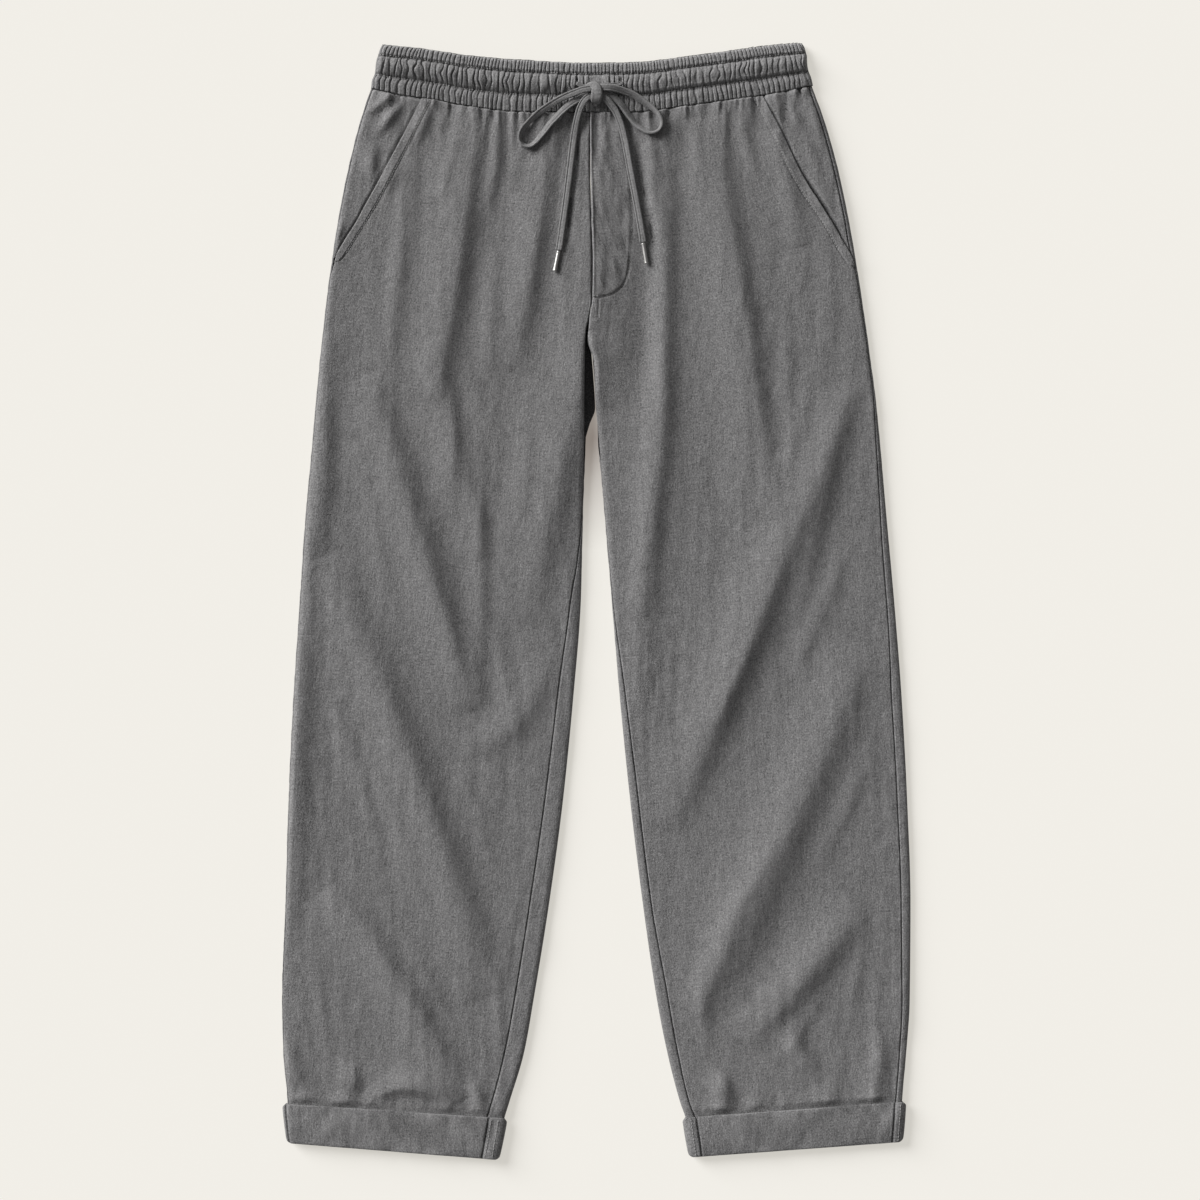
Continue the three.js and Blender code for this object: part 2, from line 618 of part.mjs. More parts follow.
const bandLeft = smoothColumn(BAND_SIDES, 'level', 'left');
const bandRight = smoothColumn(BAND_SIDES, 'level', 'right');
const bandHeight = smoothColumn(BAND_SIDES, 'level', 'height');

function bandGather(level, x) {
  const across = (x - bandLeft(level)) / (bandRight(level) - bandLeft(level));
  const outsidePatch = Math.max(BAND_PLAIN_PATCH.left - x, x - BAND_PLAIN_PATCH.right);
  const patch = smoothStep(...PATCH_BLEND, outsidePatch);
  if (level < RUFFLE_ENDS) return RUFFLE_WAVE * gatherWave(RUFFLE_GATHERS, across, 1);
  if (level < CHANNEL_ENDS) {
    const belly = Math.sin((Math.PI * (level - RUFFLE_ENDS)) / (CHANNEL_ENDS - RUFFLE_ENDS));
    const height = CHANNEL_EDGE_WAVE + CHANNEL_BELLY_WAVE * belly;
    return height * patch * gatherWave(CHANNEL_GATHERS, across, 2);
  }
  return LOWER_WAVE * mix(PATCH_WAVE, 1, patch) * gatherWave(LOWER_GATHERS, across, 3);
}

const bandTube = new FlatTube({
  length: BAND_DEPTH,
  curve: (level, x) => mix(bandTop(x), bandSeam(x) + SEAM_GAP / 2, level),
  left: bandLeft,
  right: bandRight,
  top: (x, y, level) => bandHeight(level) + bandGather(level, x),
  under: () => 0,
  middle: () => BAND_EDGE_HEIGHT,
});

// Where the ruffle's crests and hollows lie, as path lengths, found by halving. None is close to an end.
const HALVINGS = 24;
const END_PHASE = 0.4;
function gatherColumns(level) {
  const { left, right, path } = bandTube.edges(level);
  const start = SEAM_GAP / 2;
  const end = path - SEAM_GAP / 2;
  const acrossAt = (place) => (bandTube.point(level, place).x - left) / (right - left);
  const phaseAt = (place) => gatherPhase(RUFFLE_GATHERS, acrossAt(place), 1);
  const firstHalf = Math.ceil(2 * phaseAt(start) + END_PHASE);
  const lastHalf = Math.floor(2 * phaseAt(end) - END_PHASE);
  const columns = [start];
  for (let half = firstHalf; half <= lastHalf; half += 1) {
    let low = start;
    let high = end;
    for (let i = 0; i < HALVINGS; i += 1) {
      const middle = (low + high) / 2;
      if (2 * phaseAt(middle) < half) low = middle;
      else high = middle;
    }
    columns.push((low + high) / 2);
  }
  return [...columns, end];
}

function waistbandFront() {
  const columnCount = gatherColumns(0).length;
  const outer = BAND_LEVELS.map((level) => {
    const places = gatherColumns(level).slice(0, columnCount);
    return places.map((at) => bandTube.moved(level, at, 0));
  });
  const inner = [0, 0.5, 1].map((level) => {
    const { path } = bandTube.edges(level);
    return spread(SEAM_GAP / 2, path - SEAM_GAP / 2, path, BAND_INSIDE_COLUMNS).map((at) => {
      const point = bandTube.point(level, at);
      const share = Math.min(at / ROLL_PATH, (path - at) / ROLL_PATH, 1);
      point.x += BAND_CLOTH * (1 - share) * (at < path / 2 ? 1 : -1);
      point.z = BAND_EDGE_HEIGHT + BAND_INSIDE_RISE * share;
      return point;
    });
  });
  return wallGeometry(outer, inner);
}

function waistbandBack() {
  const rowsAt = (offset) => [0, 0.5, 1].map((level) => {
    const { path } = bandTube.edges(level);
    const start = path + SEAM_GAP / 2;
    const end = 2 * path - SEAM_GAP / 2;
    const first = path + ROLL_PATH;
    const last = 2 * path - ROLL_PATH;
    const places = [
      ...BEND_SHARES.map((f) => mix(start, first, f)),
      ...Array.from({ length: BAND_BACK_COLUMNS + 1 }, (_, i) => mix(first, last, i / BAND_BACK_COLUMNS)),
      ...BEND_SHARES.map((f) => mix(end, last, f)).reverse(),
    ];
    return places.map((at) => bandTube.moved(level, at, offset));
  });
  return wallGeometry(rowsAt(0), rowsAt(-BAND_CLOTH));
}

function turnUpTube(rows) {
  const left = smoothColumn(rows, 'level', 'left');
  const right = smoothColumn(rows, 'level', 'right');
  return new FlatTube({
    length: rows[0].yLow - rows[1].yLow,
    curve: (level, x) => turnUpEdge(rows, level, x),
    left,
    right,
    top: (x, y) => legBase(y),
    under: () => TURN_UP_LIFT,
    middle: () => TURN_UP_EDGE_HEIGHT,
  });
}

function turnUp(rows, seams) {
  const tube = turnUpTube(rows);
  const { path } = tube.edges(0.5);
  const leftSeam = pathAt(seams[0]);
  const rightSeam = path - pathAt(seams[1]);
  const grooves = [leftSeam, rightSeam];
  const onTop = Array.from({ length: TURN_UP_TOP + 1 }, (_, i) => i / TURN_UP_TOP);
  const beneath = Array.from({ length: TURN_UP_BENEATH + 1 }, (_, i) => i / TURN_UP_BENEATH);
  const around = [
    ...NEAR_SHARES.map((f) => f * ROLL_PATH),
    ...onTop.map((f) => mix(ROLL_PATH, path - ROLL_PATH, f)),
    ...NEAR_SHARES.map((f) => path - f * ROLL_PATH).reverse(),
    ...NEAR_SHARES.slice(1).map((f) => path + f * ROLL_PATH),
    ...beneath.map((f) => mix(path + ROLL_PATH, 2 * path - ROLL_PATH, f)),
    ...NEAR_SHARES.slice(1).map((f) => 2 * path - f * ROLL_PATH).reverse(),
    ...grooves.flatMap((at) => [at - GROOVE_REACH, at, at + GROOVE_REACH]),
  ].sort((a, b) => a - b).filter((at, i, all) => i === 0 || at - all[i - 1] > LEAST_COLUMN);
  const sections = around.map((at) => TURN_UP_WALL.map(({ level, offset }) => {
    const inGroove = grooves.includes(at);
    const depth = inGroove && offset > LAYER_GAP ? TURN_UP_GROOVE : 0;
    const share = at / (2 * path);
    const point = tube.moved(level, share * 2 * tube.edges(level).path, offset - depth);
    point.z = Math.max(point.z, 0);
    return point;
  }));
  return ringGeometry(sections);
}

// The height of whatever the cord lies on, over its width
function restHeight(x, y) {
  const reach = CORD_WIDTH / 2;
  const places = [[0, 0], [reach, 0], [-reach, 0], [0, reach], [0, -reach]];
  return Math.max(...places.map(([dx, dy]) => {
    const seam = bandSeam(x + dx);
    const top = bandTop(x + dx);
    if (y + dy < seam) return rightLegTop(x + dx, y + dy);
    const level = clamp((top - y - dy) / (top - seam), 0, 1);
    return bandHeight(level) + Math.abs(bandGather(level, x + dx));
  }));
}

function cordPoints(route) {
  const drop = CORD_LIFT + CORD_THICKNESS / 2;
  const heights = route.map(({ x, y, lift }) => restHeight(x, y) + drop + lift * CORD_THICKNESS);
  const settled = heights.map((height, i) => {
    const before = heights[Math.max(i - 1, 0)];
    const after = heights[Math.min(i + 1, heights.length - 1)];
    return Math.max(height, (before + height + after) / 3);
  });
  return route.map(({ x, y }, i) => new THREE.Vector3(x, y, settled[i]));
}

// A curve whose sections stay level across it
class LevelCurve extends THREE.CatmullRomCurve3 {
  computeFrenetFrames(segments) {
    const up = new THREE.Vector3(0, 0, 1);
    const tangents = Array.from({ length: segments + 1 }, (_, i) => this.getTangentAt(i / segments));
    const binormals = tangents.map((tangent) => tangent.clone().cross(up).normalize());
    const normals = binormals.map((binormal, i) => binormal.clone().cross(tangents[i]));
    return { tangents, normals, binormals };
  }
}

function flatCord(route, steps) {
  const outline = Array.from({ length: CORD_SIDES }, (_, i) => {
    const angle = (2 * Math.PI * (i + 0.5)) / CORD_SIDES;
    return new THREE.Vector2((Math.cos(angle) * CORD_THICKNESS) / 2, (Math.sin(angle) * CORD_WIDTH) / 2);
  });
  return new THREE.ExtrudeGeometry(new THREE.Shape(outline), {
    steps,
    extrudePath: new LevelCurve(cordPoints(route)),
    bevelEnabled: false,
  });
}

const cloth = () => new THREE.MeshStandardMaterial({ color: 0x6b6a6a, roughness: 0.95, metalness: 0 });
const cordCloth = () => new THREE.MeshStandardMaterial({ color: 0x706f6f, roughness: 0.9, metalness: 0 });
const steel = () => new THREE.MeshStandardMaterial({ color: 0xb9b7b2, roughness: 0.3, metalness: 1 });

const trousers = new THREE.Group();
function add(name, geometry, material) {
  const mesh = new THREE.Mesh(geometry, material);
  mesh.name = name;
  trousers.add(mesh);
  return mesh;
}

// An aglet continues a tail's last direction to its own end.
function addAglet(name, route, end) {
  const points = cordPoints(route);
  const start = points[points.length - 1];
  const stop = new THREE.Vector3(end.x, end.y, restHeight(end.x, end.y) + CORD_LIFT + AGLET_RADIUS);
  const direction = stop.clone().sub(start).normalize();
  const tube = new THREE.CylinderGeometry(AGLET_RADIUS, AGLET_RADIUS, AGLET_LENGTH, AGLET_SIDES);
  const mesh = add(name, tube, steel());
  mesh.position.copy(start).addScaledVector(direction, LAYER_GAP + AGLET_LENGTH / 2);
  mesh.quaternion.setFromUnitVectors(new THREE.Vector3(0, 1, 0), direction);
}

// The back's right or left edge above the crotch, rolling up into the leg's own edge below it.
function backSide(rows, side, crotch, rollsBy) {
  const sign = side === 'right' ? 1 : -1;
  const flatEdge = smoothColumn(crotch, 'y', 'edge');
  const legEdge = smoothColumn(rows, 'y', side);
  const legSeam = smoothColumn(rows, 'y', 'inseam');
  const flatUntil = crotch[crotch.length - 1].y;
  const rolled = (y) => smoothStep(flatUntil, rollsBy, y);
  return {
    edge: (level, y) => mix(flatEdge(y) + sign * ROLL, legEdge(y), rolled(y)),
    seam: (y) => mix(-ROLL, legSeam(y), rolled(y)),
  };
}

const leftSide = smoothColumn(LEFT_LEG, 'y', 'side');
const rightSide = smoothColumn(RIGHT_LEG, 'y', 'side');
const leftInseam = smoothColumn(LEFT_LEG, 'y', 'inseam');
const rightInseam = smoothColumn(RIGHT_LEG, 'y', 'inseam');
const leftPocketEdge = smoothColumn(LEFT_POCKET, 'y', 'edge');
const rightPocketEdge = smoothColumn(RIGHT_POCKET, 'y', 'edge');
const pocketOpens = (y) => smoothStep(...POCKET_CLOSES, y);
const leftOpening = (y) => Math.max(leftPocketEdge(y) * pocketOpens(y), leftSide(y));
const rightOpening = (y) => Math.max(rightPocketEdge(y) * pocketOpens(y), rightSide(y));

const leftTube = legTube(LEFT_LEG, LEFT_TURN_UP, legTop);
const rightTube = legTube(RIGHT_LEG, RIGHT_TURN_UP, rightLegTop);
const leftBack = backSide(LEFT_LEG, 'right', LEFT_BACK_CROTCH, LEFT_BACK_ROLLS_BY);
const rightBack = backSide(RIGHT_LEG, 'left', RIGHT_BACK_CROTCH, RIGHT_BACK_ROLLS_BY);
const leftBackTube = legTube(LEFT_LEG, LEFT_TURN_UP, legTop, { right: leftBack.edge });
const rightBackTube = legTube(RIGHT_LEG, RIGHT_TURN_UP, rightLegTop, { left: rightBack.edge });

add('front_left', frontPanel(leftTube, leftOpening, leftInseam), cloth());
add('front_right', frontPanel(rightTube, rightInseam, rightOpening), cloth());
add('back_left', backPanel(leftBackTube, leftSide, leftBack.seam), cloth());
add('back_right', backPanel(rightBackTube, rightBack.seam, rightSide), cloth());
add('pocket_facing_left', pocketFacing(leftTube, true, leftPocketEdge, leftSide), cloth());
add('pocket_facing_right', pocketFacing(rightTube, false, rightPocketEdge, rightSide), cloth());
add('waistband_front', waistbandFront(), cloth());
add('waistband_back', waistbandBack(), cloth());
add('turn_up_left', turnUp(LEFT_TURN_UP, LEFT_TURN_UP_SEAMS), cloth());
add('turn_up_right', turnUp(RIGHT_TURN_UP, RIGHT_TURN_UP_SEAMS), cloth());

add('drawcord_lead_left', flatCord(LEAD_LEFT, LEAD_STEPS), cordCloth());
add('drawcord_lead_right', flatCord(LEAD_RIGHT, LEAD_STEPS), cordCloth());
add('drawcord_loop_left', flatCord(LOOP_LEFT, LEFT_LOOP_STEPS), cordCloth());
add('drawcord_loop_right', flatCord(LOOP_RIGHT, RIGHT_LOOP_STEPS), cordCloth());
add('drawcord_tail_left', flatCord(TAIL_LEFT, TAIL_STEPS), cordCloth());
add('drawcord_tail_right', flatCord(TAIL_RIGHT, TAIL_STEPS), cordCloth());
addAglet('aglet_left', TAIL_LEFT, AGLET_LEFT_END);
addAglet('aglet_right', TAIL_RIGHT, AGLET_RIGHT_END);

const knot = add('drawcord_knot', new THREE.SphereGeometry(0.5, KNOT_SIDES, KNOT_RINGS), cordCloth());
knot.rotation.x = Math.PI / 2;
knot.scale.set(KNOT.width, KNOT.height, KNOT.length);
knot.position.set(KNOT.x, KNOT.y, restHeight(KNOT.x, KNOT.y) + CORD_LIFT + KNOT.height / 2);

export default trousers;
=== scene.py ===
import math

import bpy
import numpy as np
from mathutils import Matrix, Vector


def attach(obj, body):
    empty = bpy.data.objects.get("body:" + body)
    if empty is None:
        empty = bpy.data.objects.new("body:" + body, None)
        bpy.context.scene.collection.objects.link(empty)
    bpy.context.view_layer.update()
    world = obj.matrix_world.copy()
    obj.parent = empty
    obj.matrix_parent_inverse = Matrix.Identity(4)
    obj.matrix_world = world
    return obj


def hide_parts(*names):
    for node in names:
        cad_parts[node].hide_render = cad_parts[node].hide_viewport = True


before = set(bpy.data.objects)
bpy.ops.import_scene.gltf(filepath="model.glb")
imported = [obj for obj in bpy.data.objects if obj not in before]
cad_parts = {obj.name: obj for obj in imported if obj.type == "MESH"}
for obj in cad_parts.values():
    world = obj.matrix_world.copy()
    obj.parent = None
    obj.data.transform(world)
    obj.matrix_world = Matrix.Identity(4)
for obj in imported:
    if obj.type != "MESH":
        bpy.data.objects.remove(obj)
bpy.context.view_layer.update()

# Drawstring trousers with turn-ups, laid flat with the front up. Sizes here are millimetres, and a mesh
# is turned into metres when it is made. X runs across, Y from the turn-ups to the waist, Z up.
# A level runs down each piece from 0 to 1, and a path over it from its left edge and back underneath.
MM = 0.001

# The photograph's frame: 1200 pixels, and the place on the garment that lies in its middle
IMAGE_PIXELS = 1200
PIXEL = 0.93
PICTURE_CENTRE = (3.72, 1.4)
LENS = 85.0
SENSOR = 36.0
SEEN_HEIGHT = 5.0
CAMERA_HEIGHT = IMAGE_PIXELS * PIXEL * LENS / SENSOR + SEEN_HEIGHT

# Soft light from the upper left, and the table. The table's reach is in metres
SUN_TOWARDS = (0.82, -0.57)
SUN_ELEVATION = 23.5
SUN_ANGLE = 36.0
SUN_STRENGTH = 6.05
SKY_STRENGTH = 0.21
FLOOR_COLOUR = (0.33, 0.325, 0.315, 1)
FLOOR_REACH = 6.0
FLOOR_DROP = 0.2
FLOOR_GLOW = (0.56, 0.54, 0.495)

# Painted shade between the legs below the crotch, where the table's glow is turned down and darker
PAINTED_SHADE_CENTRE = (0.0, 152.0)
PAINTED_SHADE_REACH = 104
PAINTED_SHADE_GLOW = (0.20, 0.166, 0.142)

# Cloth thicknesses of the shells, of the solids' turn-ups, and the clearances at seams and layers
LEG_CLOTH = 1.0
FACING_CLOTH = 0.8
BAND_CLOTH = 2.0
SOLID_TURN_UP_CLOTH = 1.8
SEAM_GAP = 0.34
LAYER_GAP = 0.35

# The rounded edge where the front turns into the back, and the height of its outermost line
ROLL = 6
ROLL_PATH = ROLL * math.pi / 2
NO_ROLL = 6
LEG_EDGE_HEIGHT = 3.2
TURN_UP_EDGE_HEIGHT = 4.7
BAND_EDGE_HEIGHT = 4.3

# Where the leg enters its turn-up
TURN_UP_LIFT = LAYER_GAP + SOLID_TURN_UP_CLOTH
TURN_UP_RAMP = 18
TURN_UP_CLEAR = 2
LEG_INSIDE_TURN_UP = 11.5

# Gathers in the three rows of the waistband, and puckers under it
RUFFLE_GATHERS = 114
CHANNEL_GATHERS = 72
LOWER_GATHERS = 80
PUCKERS = 31
PUCKER_SPAN = (-196, 190)
PUCKER_LENGTH = (16, 52)
PUCKER_WIDTH = (3.2, 6)
PUCKER_HEIGHT = (0.7, 1.5)
PUCKER_LEAN = 0.25
PUCKER_RISE = 1.8
FINE_PUCKER_RISE = 2.6

# Heights of the gathers, half-widths of the creases between them, and the grooves between the rows
RUFFLE_WAVE, RUFFLE_CREASE = 1.3, 0.5
CHANNEL_WAVE, BELLY_WAVE, CHANNEL_CREASE = 1.2, 1.5, 0.75
LOWER_WAVE, LOWER_CREASE = 1.9, 0.65
ROW_BLEND = 0.025
ROW_GROOVE_DEPTH = 0.9
ROW_GROOVE_WIDTH = 1.5
EYELET_DEPTH = 3.0
EYELET_WIDTH = 1.1

# The drawcord
CORD_WIDTH = 6.4
CORD_THICKNESS = 3
CORD_LIFT = 0.4
CORD_HEIGHT = 14
KNOT_HEIGHT = 19
KNOT_THICKNESS = 3.8
LEAD_WIDTH = 4.2
LEAD_LENGTH = 10
LEAD_BLEND = 8
AGLET_RADIUS = 1.9


def table(columns, *rows):
    """A short table as one array for each named column."""
    return dict(zip(columns.split(), np.array(rows, float).T))


# The legs' outlines by Y, and how far in from them the inseams and side seams lie
LEFT_LEG = table(
    "y left right inseam",
    [480, -208.4, -0.2, NO_ROLL],
    [450, -218.4, -0.2, NO_ROLL],
    [410, -228.9, 0.3, NO_ROLL],
    [355, -239.9, 1.6, NO_ROLL],
    [318, -245.6, 2.6, NO_ROLL],
    [280, -250.8, 1.9, NO_ROLL],
    [262, -252.8, -1.0, NO_ROLL],
    [240, -255.4, -9.2, 0.5],
    [190, -260.2, -10.0, 0.4],
    [150, -263.8, -10.2, 0.4],
    [75, -270.7, -12.2, 1.2],
    [36, -273.4, -13.1, 4.4],
    [0, -275.7, -14.1, 9.4],
    [-90, -281.7, -21.2, 14.6],
    [-185, -286.2, -30.7, 16.7],
    [-280, -289.0, -43.5, 17.7],
    [-370, -292.2, -58.0, 17.5],
    [-420, -291.0, -67.0, 17.8],
    [-465, -287.0, -80.4, 16.0],
    [-480, -286.6, -85.1, 15.9],
    [-495, -286.4, -89.6, 15.8],
)
RIGHT_LEG = table(
    "y left right inseam",
    [480, -11.9, 200.6, NO_ROLL],
    [450, -11.9, 211.6, NO_ROLL],
    [410, -11.4, 223.3, NO_ROLL],
    [355, -10.2, 235.2, NO_ROLL],
    [318, -9.1, 241.7, NO_ROLL],
    [280, -9.8, 247.6, NO_ROLL],
    [262, -12.5, 250.2, NO_ROLL],
    [240, -8.5, 253.4, 0.6],
    [222, -3.0, 255.8, 0.5],
    [190, -1.6, 260.1, 0.4],
    [150, 2.0, 264.1, 0.4],
    [75, 8.4, 270.7, 0.4],
    [0, 14.7, 277.5, 0.9],
    [-90, 22.2, 284.5, 5.5],
    [-185, 31.8, 289.6, 7.8],
    [-280, 43.4, 292.7, 8.0],
    [-370, 56.6, 292.0, 10.6],
    [-420, 66.4, 288.7, 9.8],
    [-465, 78.0, 284.6, 8.6],
    [-480, 83.3, 283.4, 8.8],
    [-495, 87.4, 282.6, 9.1],
)
# The pockets' edges, how far in from the outline, and where the stitched band beside them ends
LEFT_POCKET = table("y edge", [480, 48], [450, 43], [410, 34.3], [386, 28], [355, 17.9],
                    [336, 9.3], [321, 3.4], [300, 0.8])
RIGHT_POCKET = table("y edge", [480, 46], [450, 41.7], [410, 36.2], [384, 29.1], [362, 20.2],
                     [345, 13], [336, 9.5], [327, 5.6], [320, 2.8], [310, 1.2])
LEFT_SIDE_SEAM = 0.8
RIGHT_SIDE_SEAM = table("y inset", [480, 2.6], [450, 3.4], [410, 3.7], [355, 3.7], [336, 4.2], [326, 3.4],
                        [316, 2.2], [300, 1.7], [262, 1.5], [222, 1.5], [190, 2.0], [150, 3.7], [95, 5.2],
                        [40, 6.8], [-20, 7.4], [-60, 8.6], [-92, 9.6], [-185, 9.3], [-280, 8.8],
                        [-370, 7.4], [-420, 6.4], [-465, 6.0], [-495, 5.4])
POCKET_BOTTOM = 318
POCKET_CLOSES = (300, 308)
BAND_LINE_FROM = 336
BAND_LINE_ENDS = 305
POCKET_TUCK = 16
POCKET_SLACK = 1.3
POCKET_GAPES = 372
LEFT_BACK_CROTCH = table("y edge", [480, -5.2], [250, -5.2], [215, -2.7], [190, -1.0], [180, -0.6],
                         [165, -5.8], [152, -9.6])
RIGHT_BACK_CROTCH = table("y edge", [480, -4.8], [250, -4.8], [215, -2.3], [190, -0.6],
                          [175, 0.4], [160, 1.6])

# The left front turns down more squarely beside the crotch
CRISPNESS = 0.65
CRISP_FROM = (95, 140)
CRISP_UNTIL = (240, 262)
LEFT_BACK_ROLLS_BY = 118
RIGHT_BACK_ROLLS_BY = 126
WAISTBAND = table(
    "x top seam",
    [-215, 519.4, 478.4], [-180, 516.4, 470.2], [-149, 512.6, 466.0], [-117, 507.7, 459.8],
    [-69, 503.8, 454.9], [-5, 500.9, 454.6], [40, 501.8, 454.8], [81, 506.7, 460.2],
    [129, 513.0, 466.8], [161, 517.4, 471.2], [206, 520.6, 480.6],
)
BAND_SIDES = table(
    "level left right height",
    [0, -198.6, 191.4, 6.6], [0.1, -200.8, 193.6, 8.5], [0.2, -202.2, 195.0, 9.2],
    [0.25, -202.8, 195.5, 8.6], [0.3, -203.6, 196.2, 9.8], [0.44, -204.8, 196.4, 11.1],
    [0.58, -205.4, 197.0, 9.9],
    [0.67, -206.0, 198.0, 8.2], [0.82, -208.4, 200.2, 9.6], [1, -209.3, 201.8, 8.6],
)
BAND_DEPTH = 45
BAND_WIDTH = 400
RUFFLE_ENDS = 0.23
CHANNEL_ENDS = 0.67
PLAIN_PATCH = (-7, 7.5)
EYELETS = (-17.6, 23.4)
LEFT_TURN_UP = table("level left right xLow yLow xHigh yHigh",
                     [0, -289.5, -84.8, -291.6, -466.6, -83.4, -480.4],
                     [1, -285.9, -91.4, -287.7, -503.2, -89.6, -519.0])
RIGHT_TURN_UP = table("level left right xLow yLow xHigh yHigh",
                      [0, 82.6, 286.3, 80.8, -479.7, 288.4, -464.8],
                      [1, 87.8, 283.8, 85.7, -516.7, 285.9, -502.1])
LEFT_TURN_UP_SEAMS = (1.7, 14.6)
RIGHT_TURN_UP_SEAMS = (10.8, 8.4)
TURN_UP_WALL = table("level offset", [0, 0.35], [-0.006, 0.9], [-0.008, 1.6], [0.006, 2.1],
                     [0.05, 2.3], [0.5, 2.5], [0.94, 2.25], [0.992, 1.7], [1, 0.4], [0.985, -1.2],
                     [0.9, -1.3], [0.33, -1.3], [0.32, 0.3])
LEG_HEIGHTS = table("y height", [490, 8.4], [440, 8.0], [350, 8.0], [250, 7.6], [150, 7.2],
                    [0, 6.6], [-200, 6.2], [-400, 6.3], [-455, 7.0], [-480, 7.4], [-525, 7.4])

# Folds. Each crest runs from 0 down to 1 and bows sideways; its first side is soft, the other sharp.
# A height below nothing is a trough.
FOLDS = table(
    "x0 y0 x1 y1 bow height soft sharp",
    [-112, 462, -150, 187, 4, 4.8, 26, 11],
    [-90, 456, -104, 350, 3, 2.4, 8, 6],
    [-42, 455, -78, 215, 3, 4.4, 20, 11],
    [-3, 440, -4, 180, 0, 4.0, 34, 34],
    [-2, 250, -66, -20, -3, 4.4, 26, 18],
    [-168, 445, -197, 190, 0, 1.8, 10, 9],
    [-95, 330, -102, 200, 0, 1.6, 9, 8],
    [-152, 245, -104, 40, -4, 3.0, 20, 10],
    [-212, 212, -112, -100, -3, 5.6, 24, 15],
    [-254, 42, -100, -366, 8, 6.2, 26, 17],
    [-45, -45, -124, -140, 20, 2.2, 18, 12],
    [-249, -267, -125, -464, 8, 5.6, 22, 13],
    [-272, 10, -285, -300, 0, 3.0, 8, 13],
    [-248, 250, -258, 30, 0, 2.8, 9, 9],
    [-107, 195, -109, -100, 0, 1.8, 10, 8],
    [-129, -468, -215, -463, -15, 4.2, 14, 7],
    [-229, -424, -221, -458, 0, 2.6, 8, 6],
    [-289, -400, -275, -455, 0, 2.2, 8, 7],
    [-116, -440, -105, -474, 0, 2.6, 8, 6],
    [58, 448, 44, -15, 10, 4.4, 16, 11],
    [105, 450, 163, 75, 3, 5.0, 28, 12],
    [50, 340, 42, 170, 0, -2.2, 14, 12],
    [48, 150, 38, -140, 0, 2.0, 12, 14],
    [164, 438, 190, 330, 2, 2.4, 12, 9],
    [231, 196, 66, -212, 4, 6.0, 28, 15],
    [236, 205, 182, -25, 0, 2.4, 14, 10],
    [142, -262, 88, -395, 0, 2.0, 14, 10],
    [250, -38, 95, -385, 5, 6.0, 30, 20],
    [246, -280, 137, -412, 3, 4.8, 22, 15],
    [171, -389, 208, -448, 0, 3.4, 12, 9],
    [113, -432, 124, -470, 0, 2.8, 10, 7],
    [262, -395, 266, -455, 0, 2.2, 8, 7],
    [-207, 430, -209, 386, 0, 2.6, 8, 5],
)
FOLD_TAPER = 0.6
SHORT_FOLD = 110
SHORT_FOLD_TAPER = 1.4
FOLD_RISE = 1.3
CREASE_RISE = 1.5

# Inside the turn-ups the legs are smooth up to here
CALM_UNTIL = (-484, -462)

# Smaller folds and creases, in the same columns
CREASES = table(
    "x0 y0 x1 y1 bow height soft sharp",
    [-157, 468, -167, 422, 2, 2.4, 8, 5],
    [-186, 416, -198, 376, 2, 1.8, 9, 7],
    [-128, 448, -150, 360, 2, 1.0, 8, 5],
    [-66, 452, -80, 380, 2, 1.0, 6, 5],
    [-28, 440, -30, 350, 1, 0.8, 6, 4],
    [-130, 210, -150, 60, 6, 0.9, 12, 8],
    [-60, 210, -88, 20, 5, 0.9, 12, 9],
    [-215, 150, -180, -40, -6, 0.9, 11, 8],
    [-160, 40, -118, -120, 5, 1.1, 11, 8],
    [-95, -20, -62, -150, -4, 0.9, 9, 7],
    [-262, 120, -270, -40, 0, 0.9, 6, 6],
    [-262, -60, -200, -250, 8, 1.1, 13, 9],
    [-225, -120, -160, -290, 6, 1.0, 10, 8],
    [-130, -150, -95, -270, 4, 0.9, 10, 8],
    [-190, -300, -120, -430, 5, 1.1, 10, 7],
    [-262, -330, -250, -440, 2, 0.8, 7, 5],
    [-95, -330, -88, -430, 0, 0.8, 7, 6],
    [34, 446, 28, 360, 1, 0.9, 6, 4],
    [54, 448, 44, 330, 2, 1.0, 7, 5],
    [92, 452, 96, 380, 1, 0.9, 6, 5],
    [130, 455, 150, 380, 2, 0.9, 7, 5],
    [188, 448, 214, 372, 1, 0.9, 6, 5],
    [60, 250, 70, 60, 5, 0.9, 11, 8],
    [170, 300, 176, 140, 5, 0.9, 12, 9],
    [206, 230, 160, 90, 3, 1.0, 11, 8],
    [236, 60, 170, -90, 3, 1.1, 11, 8],
    [150, -20, 100, -130, 3, 0.8, 10, 8],
    [262, -120, 190, -270, 4, 1.1, 12, 8],
    [180, -200, 110, -310, 3, 0.9, 10, 8],
    [215, -350, 160, -440, 3, 1.0, 10, 7],
    [250, -300, 235, -400, 0, 0.8, 8, 6],
    [96, -330, 104, -430, 0, 0.8, 8, 6],
    [-176, 468, -207, 430, 0, 2.4, 6, 4],
    [-182, 476, -214, 452, 0, 2.2, 5, 4],
    [-235, 356, -245, 328, 0, 1.8, 6, 4],
    [172, 470, 190, 436, 2, 1.8, 6, 4],
    [181, 478, 180, 440, 0, -1.2, 9, 8],
    [196, 470, 214, 410, 0, 1.2, 5, 4],
)
HEM_PUFFS = table("x height width", [-272, 3, 11], [-233, 4, 11], [-135, 3, 10], [-106, 2.6, 7],
                  [116, 4.4, 9], [150, 2, 12], [213, 4.6, 12], [256, 3.6, 10])

